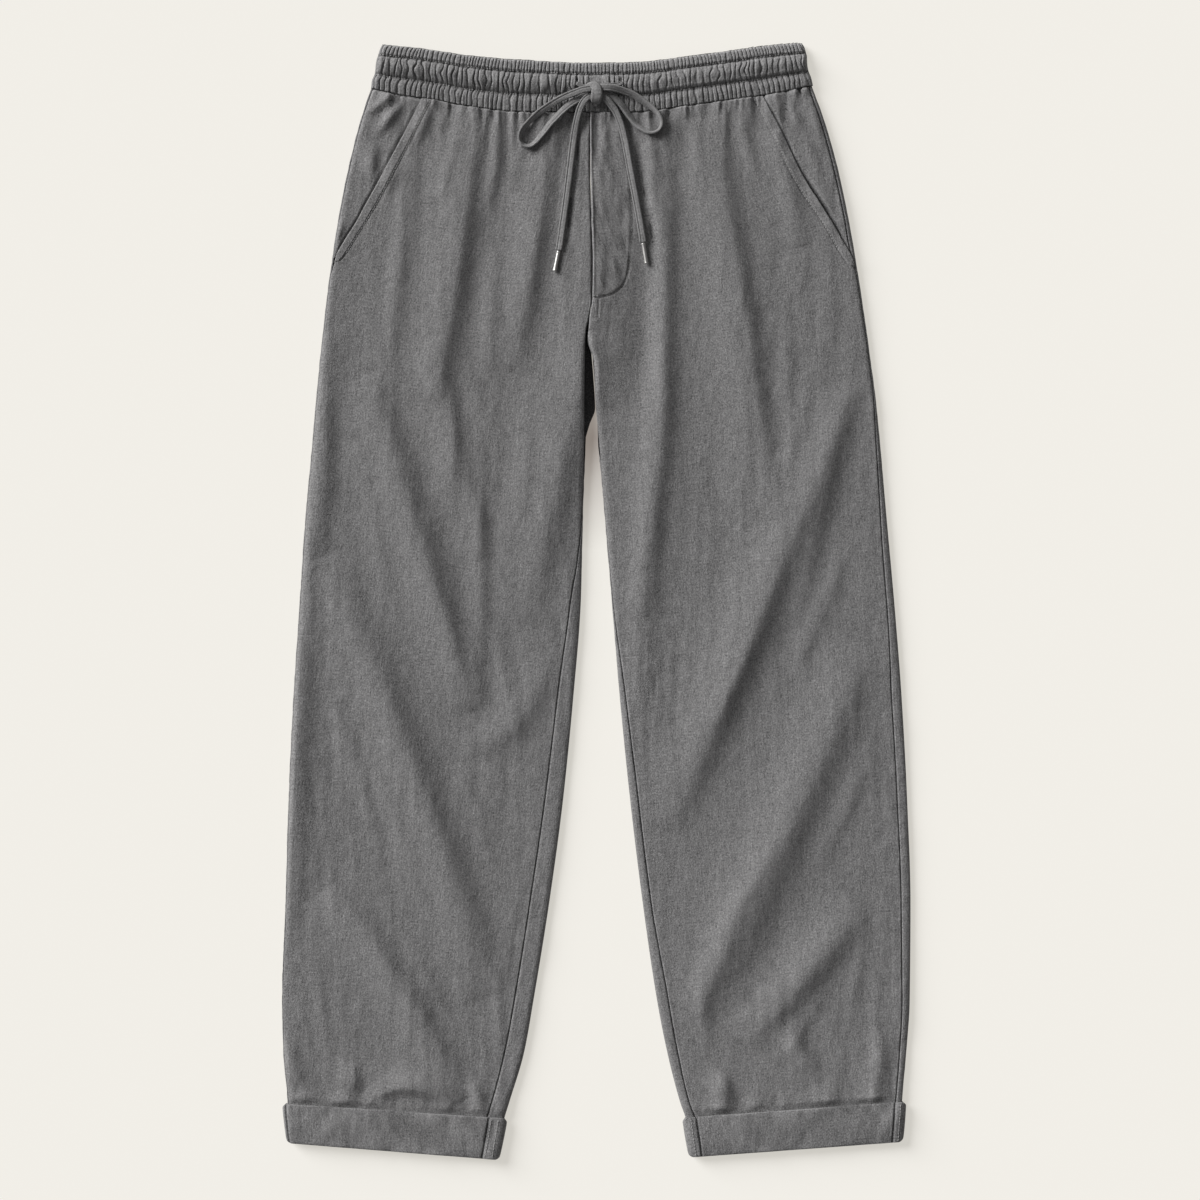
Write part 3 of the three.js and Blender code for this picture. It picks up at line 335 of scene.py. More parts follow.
# The mock fly: how far it is raised, its edge and its stitches. STITCH_SINK is a sunk line's half-width
STITCH_SINK = 0.9
FLY_LIFT = 0.8
FLY_BLEND = 1.0
FLY_BOTTOM = (279, 284)
FLY_EDGE_FROM = (279, 290)
SHORT_FLY_LINE = ((2.6, 1.8), (281, 264))
FLY_STITCH = table("y x", [460, 22.3], [403, 28.8], [371, 33], [339, 33], [327, 31.6], [315, 30.7],
                   [304, 29.2], [295.7, 26], [289.7, 20.8], [285, 13.3], [282.8, 4.2], [282.2, -8])

# The drawcord's route, the same points as its solids have
LEAD_LEFT = [[-18.3, 482.4, 0.15], [-14.4, 479.9, 0.15], [-10.3, 478.1, 0.15], [-7.8, 477.6, 0.15]]
LEAD_RIGHT = [[24.9, 482.9, 0.15], [21.8, 481.2, 0.15], [18, 480.1, 0.15], [13.6, 479.8, 0.15]]
LOOP_LEFT = [
    [-5.6, 476.4, 1.3], [-12.1, 475.4, 1.35], [-18.1, 473.5, 1.3], [-28.4, 469.7, 0.8],
    [-38.5, 464.6, 0.3], [-51.2, 456.4, 0], [-58.6, 450.2, 0], [-64.6, 444.1, 0],
    [-69, 438.7, 0], [-71.1, 432.9, 0], [-70.1, 427.8, 0], [-66.4, 424.4, 0],
    [-61.4, 424, 0], [-56.3, 427.3, 0], [-51.4, 432.9, 0], [-46.9, 438.5, 0],
    [-42.8, 444.1, 0], [-37.2, 450.1, 0], [-31.2, 456.6, 0], [-24.6, 462.2, 0],
    [-17.7, 466.8, 0.05], [-11.2, 470.2, 0.1], [-5.4, 472.2, 0.1],
]
LOOP_RIGHT = [
    [4.8, 477.4, 1.3], [10.2, 477.5, 1.35], [16.1, 476.8, 1.3], [25, 474.8, 0.9],
    [35.2, 471, 0.4], [45.3, 464.6, 0.1], [54.2, 457.7, 0], [59.7, 450.6, 0],
    [61, 444.3, 0], [58, 438.6, 0], [51.6, 436.2, 0], [45.3, 438.1, 0],
    [37.2, 444.1, 0], [32.7, 449.7, 0], [28.6, 455.2, 0], [23.3, 462.7, 0],
    [19.8, 466.4, 0], [16.3, 469.6, 0.05], [11.4, 472.2, 0.1], [5, 473.4, 0.1],
]
TAIL_LEFT = [
    [-5.4, 469.4, 1.4], [-8, 468.4, 1.4], [-10.4, 466.2, 1.4], [-12.9, 462.5, 1.1],
    [-16.1, 455.2, 0.3], [-18.8, 444.1, 0], [-20.7, 432.9, 0], [-22.1, 421.8, 0],
    [-24.5, 401.3, 0], [-28, 373.4, 0], [-31.9, 345.5, 0], [-34.7, 326.4, 0],
]
TAIL_RIGHT = [
    [4.9, 469.4, 1.4], [7.4, 468.4, 1.4], [9.9, 466.4, 1.4], [13.3, 462.7, 1.1],
    [18.6, 455.2, 0.3], [23.1, 444.1, 0], [26, 432.9, 0], [28.3, 421.8, 0],
    [31.9, 401.3, 0], [37.2, 373.4, 0], [42.1, 345.5, 0], [43.9, 333.8, 0],
]

# The furrows in the cloth to the right of the hanging ends: how far from the cord, depth and width
LEFT_FURROW = (5.2, 1.8, 3.2)
RIGHT_FURROW = (8.5, 2.2, 4.5)
FURROW_STARTS = (318, 345)
FURROW_ENDS = (438, 454)

# A metal end's radius along its length, and where the two end
AGLET_PROFILE = table(
    "at radius", [0.0, 0.2], [0.0, 1.6], [0.25, 1.85], [0.8, 1.9], [1.3, 1.78], [2.2, 1.74], [5, 1.74],
    [9.5, 1.74], [14, 1.74], [17.2, 1.74], [17.9, 1.8], [18.4, 1.9], [18.8, 1.84], [19, 1.55],
    [19, 1.3], [18.4, 1.2], [17.6, 0.15],
)
AGLET_SIDES = 32
AGLET_LEFT_END = (-38.9, 305.7)
AGLET_RIGHT_END = (46.9, 314.8)
KNOT = (-0.2, 472.4)
KNOT_WRAP = table(
    "x y z width", [-6.6, 475.6, 2.4, 4.4], [-8.2, 478.0, 4.8, 4.8], [-6.6, 480.0, 7.0, 5.4],
    [-3.2, 480.2, 8.6, 7.0], [-0.4, 478.6, 9.6, 8.8], [0.7, 475.6, 10.1, 9.9],
    [0.7, 471.6, 10.2, 10.6], [0.2, 468.2, 9.2, 10.4], [-0.1, 466.0, 6.6, 9.6],
    [-0.2, 465.4, 3.4, 8.6], [-0.2, 466.6, 1.4, 8.0],
)
KNOT_SINKS = 1.6
KNOT_STEP = 0.4
KNOT_TAPER = 2.2

# How far the flat cord is tilted, in degrees, at shares of its length
LOOP_RIGHT_TILT = table("share degrees", [0, 0], [0.16, -8], [0.3, -20], [0.42, -45], [0.5, -70],
                        [0.6, -72], [0.7, -50], [0.85, -25], [1, 0])
LOOP_LEFT_TILT = table("share degrees", [0, 0], [0.2, 10], [0.32, 20], [0.45, 45], [0.54, 65],
                       [0.62, 60], [0.72, 40], [0.85, 20], [1, 0])
TAIL_LEFT_TILT = table("share degrees", [0, 0], [0.3, 6], [1, -4])
TAIL_RIGHT_TILT = table("share degrees", [0, 0], [0.3, -6], [1, 4])
THROUGH_KNOT_RIGHT = [[-4, 477.3, 0.4], [0.4, 477.2, 0.9]]
THROUGH_KNOT_LEFT = [[7.6, 478.9, 0.3], [2.5, 477.3, 0.8], [-1.5, 476.6, 1.1]]


# Curves, noise and the flattened tube

def mix(a, b, f):
    return a + (b - a) * f


def smooth_step(low, high, value):
    f = np.clip((value - low) / (high - low), 0, 1)
    return f * f * (3 - 2 * f)


def bell(distance, width):
    """1 in the middle, falling away smoothly to both sides."""
    return np.exp(-((distance / width) ** 2))


def smooth_column(rows, key, name):
    """One column of a table as a smooth function of another, with no overshoot between its rows."""
    order = np.argsort(rows[key])
    xs, ys = rows[key][order], rows[name][order]
    slopes = np.diff(ys) / np.diff(xs)
    before = np.concatenate([slopes[:1], slopes])
    after = np.concatenate([slopes, slopes[-1:]])
    same_way = before * after > 0
    tangents = np.where(same_way, 2 * before * after / np.where(same_way, before + after, 1), 0)

    def value(wanted):
        at = np.clip(wanted, xs[0], xs[-1])
        i = np.clip(np.searchsorted(xs, at, side="right") - 1, 0, len(xs) - 2)
        width = xs[i + 1] - xs[i]
        f = (at - xs[i]) / width
        g = 1 - f
        return (ys[i] * g * g * (1 + 2 * f) + ys[i + 1] * f * f * (1 + 2 * g)
                + width * f * g * (tangents[i] * g - tangents[i + 1] * f))
    return value


def uneven(n, seed):
    """A repeatable uneven number from 0 to 1 for each whole number."""
    wave = np.sin(n * 12.9898 + seed * 78.233) * 43758.5453
    return wave - np.floor(wave)


def lattice(i, j, seed):
    n = (i.astype(np.int64) * 374761393 + j.astype(np.int64) * 668265263 + seed * 974634777) & 0xFFFFFFFF
    n = ((n ^ (n >> 13)) * 1274126177) & 0xFFFFFFFF
    return (n ^ (n >> 16)) / 0xFFFFFFFF * 2 - 1


def noise(u, v, seed):
    """Smooth noise from -1 to 1 whose bumps are about one unit wide."""
    u, v = np.broadcast_arrays(np.asarray(u, float), np.asarray(v, float))
    i, j = np.floor(u), np.floor(v)
    f, g = u - i, v - j
    f, g = f * f * (3 - 2 * f), g * g * (3 - 2 * g)
    low = mix(lattice(i, j, seed), lattice(i + 1, j, seed), f)
    high = mix(lattice(i, j + 1, seed), lattice(i + 1, j + 1, seed), f)
    return mix(low, high, g)


def lengths_along(line):
    """How far along a line each of its points lies."""
    return np.concatenate([[0], np.cumsum(np.linalg.norm(np.diff(line, axis=0), axis=1))])


def along_line(line, lengths, at):
    """The places at these lengths along a line."""
    return np.stack([np.interp(at, lengths, line[:, k]) for k in range(3)], axis=1)


def ring_angles(sides):
    return np.arange(sides) * 2 * math.pi / sides


def path_at(inset):
    """How far along the path from an edge a place lies that is this far inside the outline."""
    size = np.abs(inset)
    bend = np.arccos(1 - np.minimum(size, ROLL) / ROLL) * ROLL
    return np.sign(inset) * np.where(size < ROLL, bend, ROLL_PATH + size - ROLL)


class FlatTube:
    """A flattened tube of cloth. point gives a place on its outer surface for a level and a path."""

    def __init__(self, length, curve, left, right, top, under, middle, crisp=None):
        """crisp gives, for each Y, how much more squarely the right edge turns down, from 0 to 1."""
        self.length, self.curve, self.crisp = length, curve, crisp
        self.left, self.right = left, right
        self.top, self.under, self.middle = top, under, middle

    def edges(self, level):
        found = []
        for side in (self.left, self.right):
            x = side(level, self.curve(level, np.zeros_like(level)))
            for _ in range(6):
                x = side(level, self.curve(level, x))
            found.append(x)
        left, right = found
        return left, right, 2 * ROLL_PATH + right - left - 2 * ROLL

    def point(self, level, path):
        level, path = np.broadcast_arrays(level, path)
        left, right, half = self.edges(level)
        around = np.mod(path, 2 * half)
        below = around > half
        along = np.where(below, 2 * half - around, around)
        end = np.minimum(along, half - along)
        angle = np.minimum(end / ROLL_PATH, 1) * math.pi / 2
        inset = np.where(end < ROLL_PATH, ROLL * (1 - np.cos(angle)), ROLL + end - ROLL_PATH)
        x = np.where(along < half - along, left + inset, right - inset)
        y = self.curve(level, x)
        middle = self.middle(level)
        far = np.where(below, self.under(level), self.top(x, y, level))
        turn = np.sin(angle)
        if self.crisp:
            turn = np.where(along > half / 2, turn ** (1 - CRISPNESS * self.crisp(y)), turn)
        return np.stack([x, y, middle + (far - middle) * turn], axis=-1)

    def moved(self, level, path, offset):
        step = 0.4
        rise = step / self.length
        across = self.point(level, path + step) - self.point(level, path - step)
        along = self.point(level + rise, path) - self.point(level - rise, path)
        outwards = np.cross(along, across)
        outwards /= np.linalg.norm(outwards, axis=-1, keepdims=True)
        offset = np.broadcast_to(offset, outwards.shape[:-1])
        return self.point(level, path) + outwards * offset[..., None]

    def place(self, x, y):
        """The level and path of a place on the upper side."""
        start, end = self.curve(0.0, x), self.curve(1.0, x)
        level = (start - y) / (start - end)
        left, _, _ = self.edges(level)
        return level, path_at(x - left)


# Heights of the cloth

def fold_height(x, y, folds, taper):
    total = np.zeros(np.broadcast(x, y).shape)
    for row in zip(*folds.values()):
        x0, y0, x1, y1, bow, height, soft, sharp = row
        dx, dy = x1 - x0, y1 - y0
        size = math.hypot(dx, dy)
        f = ((x - x0) * dx + (y - y0) * dy) / size**2
        inside = np.clip(f, 0, 1)
        aside = ((x - x0) * -dy + (y - y0) * dx) / size - 4 * bow * inside * (1 - inside)
        width = np.where(aside < 0, soft, sharp)
        rise = np.maximum(np.sin(math.pi * inside), 0) ** (taper if size > SHORT_FOLD else SHORT_FOLD_TAPER)
        total += height * rise * bell(aside, width)
    return total


band_top = smooth_column(WAISTBAND, "x", "top")
band_seam = smooth_column(WAISTBAND, "x", "seam")
fly_edge = smooth_column(FLY_STITCH, "y", "x")
FLY_LINE_Y = np.concatenate([np.linspace(460, 310, 10), np.linspace(306, 285, 9),
                             np.linspace(284.4, 282.2, 12)])
leg_base = smooth_column(LEG_HEIGHTS, "y", "height")


def pucker_height(x, y):
    """Short puckers that run down from the waist seam."""
    below = band_seam(x) - y
    height = np.zeros(np.broadcast(x, y).shape)
    for i in range(PUCKERS):
        place = mix(*PUCKER_SPAN, (i + 0.5 + 0.5 * (uneven(i, 1) - 0.5)) / PUCKERS)
        length = mix(*PUCKER_LENGTH, uneven(i, 2) ** 1.5)
        width = mix(*PUCKER_WIDTH, uneven(i, 3))
        lean = (uneven(i, 4) - 0.5) * PUCKER_LEAN
        aside = x - place - lean * below
        height += mix(*PUCKER_HEIGHT, uneven(i, 5)) * bell(aside, width) * bell(below, length)
    return height


def fine_puckers(x, y):
    """The narrow creases between the puckers, close under the waist seam."""
    below = band_seam(x) - y
    lean = 3 * noise(x / 30, 0 * x, 31)
    crease = noise((x + lean * below / 30) / 2.6, below / 22, 32)
    return 0.5 * crease * bell(below, 13)


def crinkle(x, y):
    """The washed cloth's ripples, which run down the legs and wander."""
    drift = 9 * noise(x / 70, y / 110, 1)
    ripple = noise((x + drift) / 7.5, y / 62, 2)
    fine = noise((x + drift) / 3.6, y / 27, 3)
    slanted = noise((x + 0.5 * y) / 16, (y - 0.5 * x) / 40, 4)
    patch = 0.75 + 0.45 * noise(x / 55, y / 90, 5)
    rumple = noise((x + 0.6 * y) / 11, (y - 0.6 * x) / 13, 6)
    return patch * (0.42 * ripple + 0.12 * fine + 0.5 * slanted + 0.3 * rumple)


def line_distance(x, y, line_x, line_y):
    """The distance from each place to a line of short straight runs."""
    nearest = np.full(np.broadcast(x, y).shape, 1e9)
    for x0, y0, x1, y1 in zip(line_x[:-1], line_y[:-1], line_x[1:], line_y[1:]):
        dx, dy = x1 - x0, y1 - y0
        f = np.clip(((x - x0) * dx + (y - y0) * dy) / (dx * dx + dy * dy), 0, 1)
        nearest = np.minimum(nearest, np.hypot(x - x0 - f * dx, y - y0 - f * dy))
    return nearest


def fly_height(x, y):
    inside = smooth_step(-FLY_BLEND, FLY_BLEND, fly_edge(y) - x) * smooth_step(*FLY_BOTTOM, y)
    wrinkles = 0.8 * noise((x + 0.3 * y) / 5.5, (y - 0.3 * x) / 14, 11) * smooth_step(270, 300, y)
    line = line_distance(x, y, fly_edge(FLY_LINE_Y), FLY_LINE_Y)
    short_line = line_distance(x, y, *SHORT_FLY_LINE)
    return inside * (FLY_LIFT + wrinkles) - bell(line, STITCH_SINK) - 0.6 * bell(short_line, STITCH_SINK)


def cord_furrow(x, y):
    """The cloth sinks beside the two hanging ends of the cord."""
    total = 0
    for tail, beside, depth, width in ((TAIL_LEFT, *LEFT_FURROW), (TAIL_RIGHT, *RIGHT_FURROW)):
        line = np.array(tail[4:])
        at = np.interp(-y, -line[:, 1], line[:, 0])
        along = smooth_step(*FURROW_STARTS, y) * (1 - smooth_step(*FURROW_ENDS, y))
        total = total - depth * along * bell(x - at - beside, width)
    return total


def turn_up_edge(rows, level, x):
    f = [(x - rows["xLow"][i]) / (rows["xHigh"][i] - rows["xLow"][i]) for i in (0, 1)]
    ends = [mix(rows["yLow"][i], rows["yHigh"][i], f[i]) for i in (0, 1)]
    return mix(ends[0], ends[1], level)


def hem_puff(x, y):
    """The leg puffs up unevenly over the top of its turn-up, then drops into it."""
    hem = np.where(x < 0, turn_up_edge(LEFT_TURN_UP, 0, x), turn_up_edge(RIGHT_TURN_UP, 0, x))
    above = y - hem
    size = 1.4 + 1.2 * noise(x / 15, y / 60, 71) + 0.8 * noise(x / 6, y / 30, 72)
    for at, height, width in zip(*HEM_PUFFS.values()):
        size = size + height * bell(x - at, width)
    return size * smooth_step(0.5, 8.5, above) * np.exp(-np.maximum(above, 0) / 17)


def leg_top(x, y):
    calm = smooth_step(*CALM_UNTIL, y)
    small = CREASE_RISE * fold_height(x, y, CREASES, 1.0) + crinkle(x, y)
    puckers = PUCKER_RISE * pucker_height(x, y) + FINE_PUCKER_RISE * fine_puckers(x, y)
    return (leg_base(y) + FOLD_RISE * fold_height(x, y, FOLDS, FOLD_TAPER) + puckers + calm * small
            + hem_puff(x, y) + cord_furrow(x, y))


def right_leg_top(x, y):
    return leg_top(x, y) + fly_height(x, y)


def leg_tube(rows, turn_up, top, left=None, right=None, crisp=None):
    depth = turn_up["yLow"][0] - turn_up["yLow"][1]
    inside = LEG_INSIDE_TURN_UP / depth
    middle_x = (turn_up["left"][0] + turn_up["right"][0]) / 2
    length = float(band_seam(0.0) - turn_up_edge(turn_up, inside, middle_x))
    ramp_end = 1 - (LEG_INSIDE_TURN_UP + TURN_UP_CLEAR) / length
    ramp_start = ramp_end - TURN_UP_RAMP / length

    def lift(level):
        return smooth_step(ramp_start, ramp_end, level)

    plain_left = smooth_column(rows, "y", "left")
    plain_right = smooth_column(rows, "y", "right")
    return FlatTube(
        length=length,
        curve=lambda level, x: mix(band_seam(x) - SEAM_GAP / 2, turn_up_edge(turn_up, inside, x), level),
        left=left or (lambda level, y: plain_left(y)),
        right=right or (lambda level, y: plain_right(y)),
        top=lambda x, y, level: top(x, y),
        under=lambda level: TURN_UP_LIFT * lift(level),
        middle=lambda level: mix(LEG_EDGE_HEIGHT, TURN_UP_EDGE_HEIGHT, lift(level)),
        crisp=crisp,
    )


# Gathers of the waistband

band_left = smooth_column(BAND_SIDES, "level", "left")
band_right = smooth_column(BAND_SIDES, "level", "right")
band_height = smooth_column(BAND_SIDES, "level", "height")
GATHER_DRIFT = table("size turns shift", [0.006, 19, 1], [0.0035, 47, 2.1], [0.0016, 101, 3.3])


def gather_phase(count, across, seed):
    total = count * across
    for size, turns, shift in zip(*GATHER_DRIFT.values()):
        total = total + count * size * np.sin(turns * across + shift * seed)
    return total


def gathers(count, across, seed, wander, crease):
    """Rounded crests from 0 to 1 with narrow creases between them, of uneven height."""
    phase = gather_phase(count, across, seed) + wander
    pitch = BAND_WIDTH / count
    aside = (0.5 - np.abs(phase - np.round(phase))) * pitch
    crest = 1 - bell(aside, crease)
    return crest * mix(0.55, 1, uneven(np.round(phase), seed))


def band_top_height(x, y, level):
    """Three rows of gathers with a stitched groove between each two, plain where the knot lies."""
    across = (x - band_left(level)) / (band_right(level) - band_left(level))
    outside = np.maximum(PLAIN_PATCH[0] - x, x - PLAIN_PATCH[1])
    patch = smooth_step(-3, 2, outside)
    depth = level * BAND_DEPTH
    wander = 0.16 * noise(x / 6, depth / 7, 21)
    ruffle = RUFFLE_WAVE * gathers(RUFFLE_GATHERS, across, 1, wander, RUFFLE_CREASE) + 0.1
    belly = np.sin(math.pi * np.clip((level - RUFFLE_ENDS) / (CHANNEL_ENDS - RUFFLE_ENDS), 0, 1))
    puffs = gathers(CHANNEL_GATHERS, across, 2, 2.2 * wander, CHANNEL_CREASE)
    puffs = puffs * (1 + 0.35 * noise(x / 11, depth / 14, 26))
    to_right = smooth_step(10, 60, x)
    puffs = (CHANNEL_WAVE + BELLY_WAVE * belly) * puffs - 0.8 + 0.5 * noise(x / 2.4, depth / 9, 22)
    channel = (1 - 0.25 * to_right) * patch * puffs + 0.5 * belly
    channel = channel + 0.9 * to_right * bell(level - 0.61, 0.06)
    lower = LOWER_WAVE * gathers(LOWER_GATHERS, across, 3, wander, LOWER_CREASE) - 0.8
    lower = mix(0.35, 1, patch) * lower + 0.3 * patch * noise(x / 1.9, depth / 6, 23)
    upper_share, lower_share = (smooth_step(row - ROW_BLEND, row + ROW_BLEND, level)
                                for row in (RUFFLE_ENDS, CHANNEL_ENDS))
    rows = mix(mix(ruffle, channel, upper_share), lower, lower_share)
    grooves = sum(bell((level - row) * BAND_DEPTH, ROW_GROOVE_WIDTH) for row in (RUFFLE_ENDS, CHANNEL_ENDS))
    pinches = 0.35 * patch * np.cos(x * 2.3 + 2 * noise(x / 9, depth, 24)) * grooves
    eyelets = sum(bell(x - at, EYELET_WIDTH) for at in EYELETS) * smooth_step(0.28, 0.36, level)
    eyelets = eyelets * (1 - smooth_step(0.56, 0.64, level))
    return band_height(level) + rows - ROW_GROOVE_DEPTH * grooves + pinches - EYELET_DEPTH * eyelets


band_tube = FlatTube(
    length=BAND_DEPTH,
    curve=lambda level, x: mix(band_top(x) + 0.35 * noise(x / 2.2, 0 * x, 25),
                               band_seam(x) + SEAM_GAP / 2, level),
    left=lambda level, y: band_left(level),
    right=lambda level, y: band_right(level),
    top=band_top_height,
    under=lambda level: 0 * level,
    middle=lambda level: BAND_EDGE_HEIGHT + 0 * level,
)


# Making meshes

def make_mesh(name, points, faces, material, uv=None, wear_and_shade=None):
    """A smooth mesh from points in millimetres and lists or arrays of faces."""
    points = np.asarray(points, float).reshape(-1, 3)
    mesh = bpy.data.meshes.new(name)
    mesh.from_pydata((points * MM).tolist(), [], [list(map(int, face)) for face in faces])
    corners = np.zeros(len(mesh.loops), dtype=np.int32)
    mesh.loops.foreach_get("vertex_index", corners)
    if uv is not None:
        layer = mesh.uv_layers.new(name="cloth")
        layer.data.foreach_set("uv", (np.asarray(uv, float).reshape(-1, 2)[corners] * MM).ravel())
    if wear_and_shade is not None:
        layer = mesh.attributes.new("wear_and_shade", "FLOAT", "POINT")
        layer.data.foreach_set("value", np.asarray(wear_and_shade, float).ravel())
    mesh.shade_smooth()
    mesh.materials.append(material)
    piece = bpy.data.objects.new(name, mesh)
    bpy.context.scene.collection.objects.link(piece)
    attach(piece, "root")
    return piece


def grid_faces(rows, columns, close_rows=False, close_columns=False, start=0):
    i = np.arange(rows if close_rows else rows - 1)[:, None]
    j = np.arange(columns if close_columns else columns - 1)[None, :]
    i, j = np.broadcast_arrays(i, j)
    below, beside = (i + 1) % rows, (j + 1) % columns
    corners = [i * columns + j, i * columns + beside, below * columns + beside, below * columns + j]
    return np.stack([corner.ravel() for corner in corners], axis=1) + start


def capped_faces(rings, sides):
    """Faces of a tube made of rings of points, with both its ends closed."""
    faces = [tuple(face) for face in grid_faces(rings, sides, close_columns=True)]
    return faces + [tuple(range(sides))[::-1], tuple(range((rings - 1) * sides, rings * sides))]


def rim_faces(first, second):
    """Triangles between two runs of points: forwards along the first, backwards along the second."""
    faces = []
    i = j = 0
    while i < len(first) - 1 or j < len(second) - 1:
        first_share = (i + 1) / (len(first) - 1)
        second_share = (j + 1) / (len(second) - 1)
        if j == len(second) - 1 or (i < len(first) - 1 and first_share <= second_share):
            faces.append((first[i], first[i + 1], second[j]))
            i += 1
        else:
            faces.append((first[i], second[j + 1], second[j]))
            j += 1
    return faces


def outwards_faces(points, faces):
    """The same faces, turned over if they point into the piece."""
    corners = [[face[0], face[k], face[k + 1]] for face in faces for k in range(1, len(face) - 1)]
    a, b, c = (points[np.array(corners)[:, k]] for k in range(3))
    volume = np.einsum("ij,ij->i", a, np.cross(b, c)).sum()
    return faces if volume > 0 else [tuple(reversed(face)) for face in faces]


# How much darker the inner sides are painted (painted shade), and how much lighter crests and darker creases
# are painted (wear and painted highlight on crests, painted shade in creases), against height in millimetres
INSIDE_PAINTED_SHADE = -1.1
FOLD_WEAR_AND_SHADE = 0.35


def cloth_shell(name, outer, inner, uv, wear_and_shade, material, nodes):
    """A closed shell from a fine outer grid and a coarser inner one, each an array of rows of points."""
    rows, columns = outer.shape[:2]
    inner_rows, inner_columns = inner.shape[:2]
    start = rows * columns
    out = np.arange(start).reshape(rows, columns)
    within = np.arange(inner_rows * inner_columns).reshape(inner_rows, inner_columns) + start
    faces = [tuple(face) for face in grid_faces(rows, columns)]
    faces += [tuple(reversed(face)) for face in grid_faces(inner_rows, inner_columns, start=start)]
    faces += rim_faces(within[0], out[0]) + rim_faces(out[-1], within[-1])
    faces += rim_faces(out[:, 0], within[:, 0]) + rim_faces(within[:, -1], out[:, -1])
    points = np.concatenate([outer.reshape(-1, 3), inner.reshape(-1, 3)])
    faces = outwards_faces(points, faces)
    inner_uv = points[start:, :2]
    all_uv = np.concatenate([uv.reshape(-1, 2), inner_uv])
    # The inner sides get painted shade: they are coloured darker than the cloth is
    all_wear_and_shade = np.concatenate([wear_and_shade.ravel(), np.full(len(inner_uv), INSIDE_PAINTED_SHADE)])
    piece = make_mesh(name, points, faces, material, all_uv, all_wear_and_shade)
    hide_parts(*nodes)
    return piece


def coarse(values, step):
    """Every so many rows and columns of an array, with the last of each."""
    rows = np.unique(np.append(np.arange(0, values.shape[0], step), values.shape[0] - 1))
    columns = np.unique(np.append(np.arange(0, values.shape[1], step), values.shape[1] - 1))
    return values[rows][:, columns]


def rounded_edge(distance, radius):
    """How far the surface drops at a distance from a rounded edge."""
    short = np.clip(1 - distance / radius, 0, 1)
    return radius * (1 - np.sqrt(1 - short * short))


def height_wear_and_shade(points, reach):
    """Crests are painted lighter, partly as wear and partly as painted highlight, and creases darker as
    painted shade: height against the neighbours' average.
    """
    z = points[..., 2]
    near = z.copy()
    for _ in range(reach):
        near[1:-1] = (near[:-2] + near[2:] + 2 * near[1:-1]) / 4
        near[:, 1:-1] = (near[:, :-2] + near[:, 2:] + 2 * near[:, 1:-1]) / 4
    return z - near


# Materials

def connect(tree, value, socket):
    if isinstance(value, bpy.types.NodeSocket):
        tree.links.new(value, socket)
    else:
        socket.default_value = value


def add_node(tree, kind, **inputs):
    node = tree.nodes.new(kind)
    for name, value in inputs.items():
        connect(tree, value, node.inputs[name.replace("_", " ")])
    return node


def math_node(tree, operation, first, second):
    node = tree.nodes.new("ShaderNodeMath")
    node.operation = operation
    connect(tree, first, node.inputs[0])
    connect(tree, second, node.inputs[1])
    return node.outputs[0]


def colour_ramp(tree, value, low, high):
    ramp = add_node(tree, "ShaderNodeValToRGB", Fac=value)
    for element, colour in zip(ramp.color_ramp.elements, (low, high)):
        element.color = (*colour, 1)
    return ramp.outputs[0]


def new_material(name, **inputs):
    """A new material, its node tree and its shader, with these values on the shader's own sockets."""
    material = bpy.data.materials.new(name)
    material.use_nodes = True
    shader = material.node_tree.nodes["Principled BSDF"]
    for socket, value in inputs.items():
        shader.inputs[socket.replace("_", " ")].default_value = value
    return material, material.node_tree, shader


def noise_layer(tree, vector, scale, detail, rough=0.55):
    mapping = add_node(tree, "ShaderNodeMapping", Vector=vector, Scale=(*scale, scale[0]))
    layer = add_node(tree, "ShaderNodeTexNoise", Vector=mapping.outputs[0], Scale=1.0, Detail=detail,
                     Roughness=rough)
    return layer.outputs[0]


def weighted(tree, value, weight, total=None):
    """total + weight * (value - 0.5)"""
    scaled = math_node(tree, "MULTIPLY", math_node(tree, "SUBTRACT", value, 0.5), weight)
    return scaled if total is None else math_node(tree, "ADD", total, scaled)


# The cloth's noises, in bumps to a metre across a piece and down it
SLUBS = (440, 90)
CROSS_SLUBS = (120, 560)
MOTTLE = (110, 80)
GRAIN = (800, 620)
FLECKS = (900, 700)
WEAVE = (2400, 2100)
CRUMPLE = (170, 130)

# How much each of them, and the wear with painted highlight and painted shade, changes the tone
CROSS_SHARE = 0.8
MOTTLE_TONE = 0.25
FLECK_TONE = 0.9
WEAR_AND_SHADE_TONE = 0.45


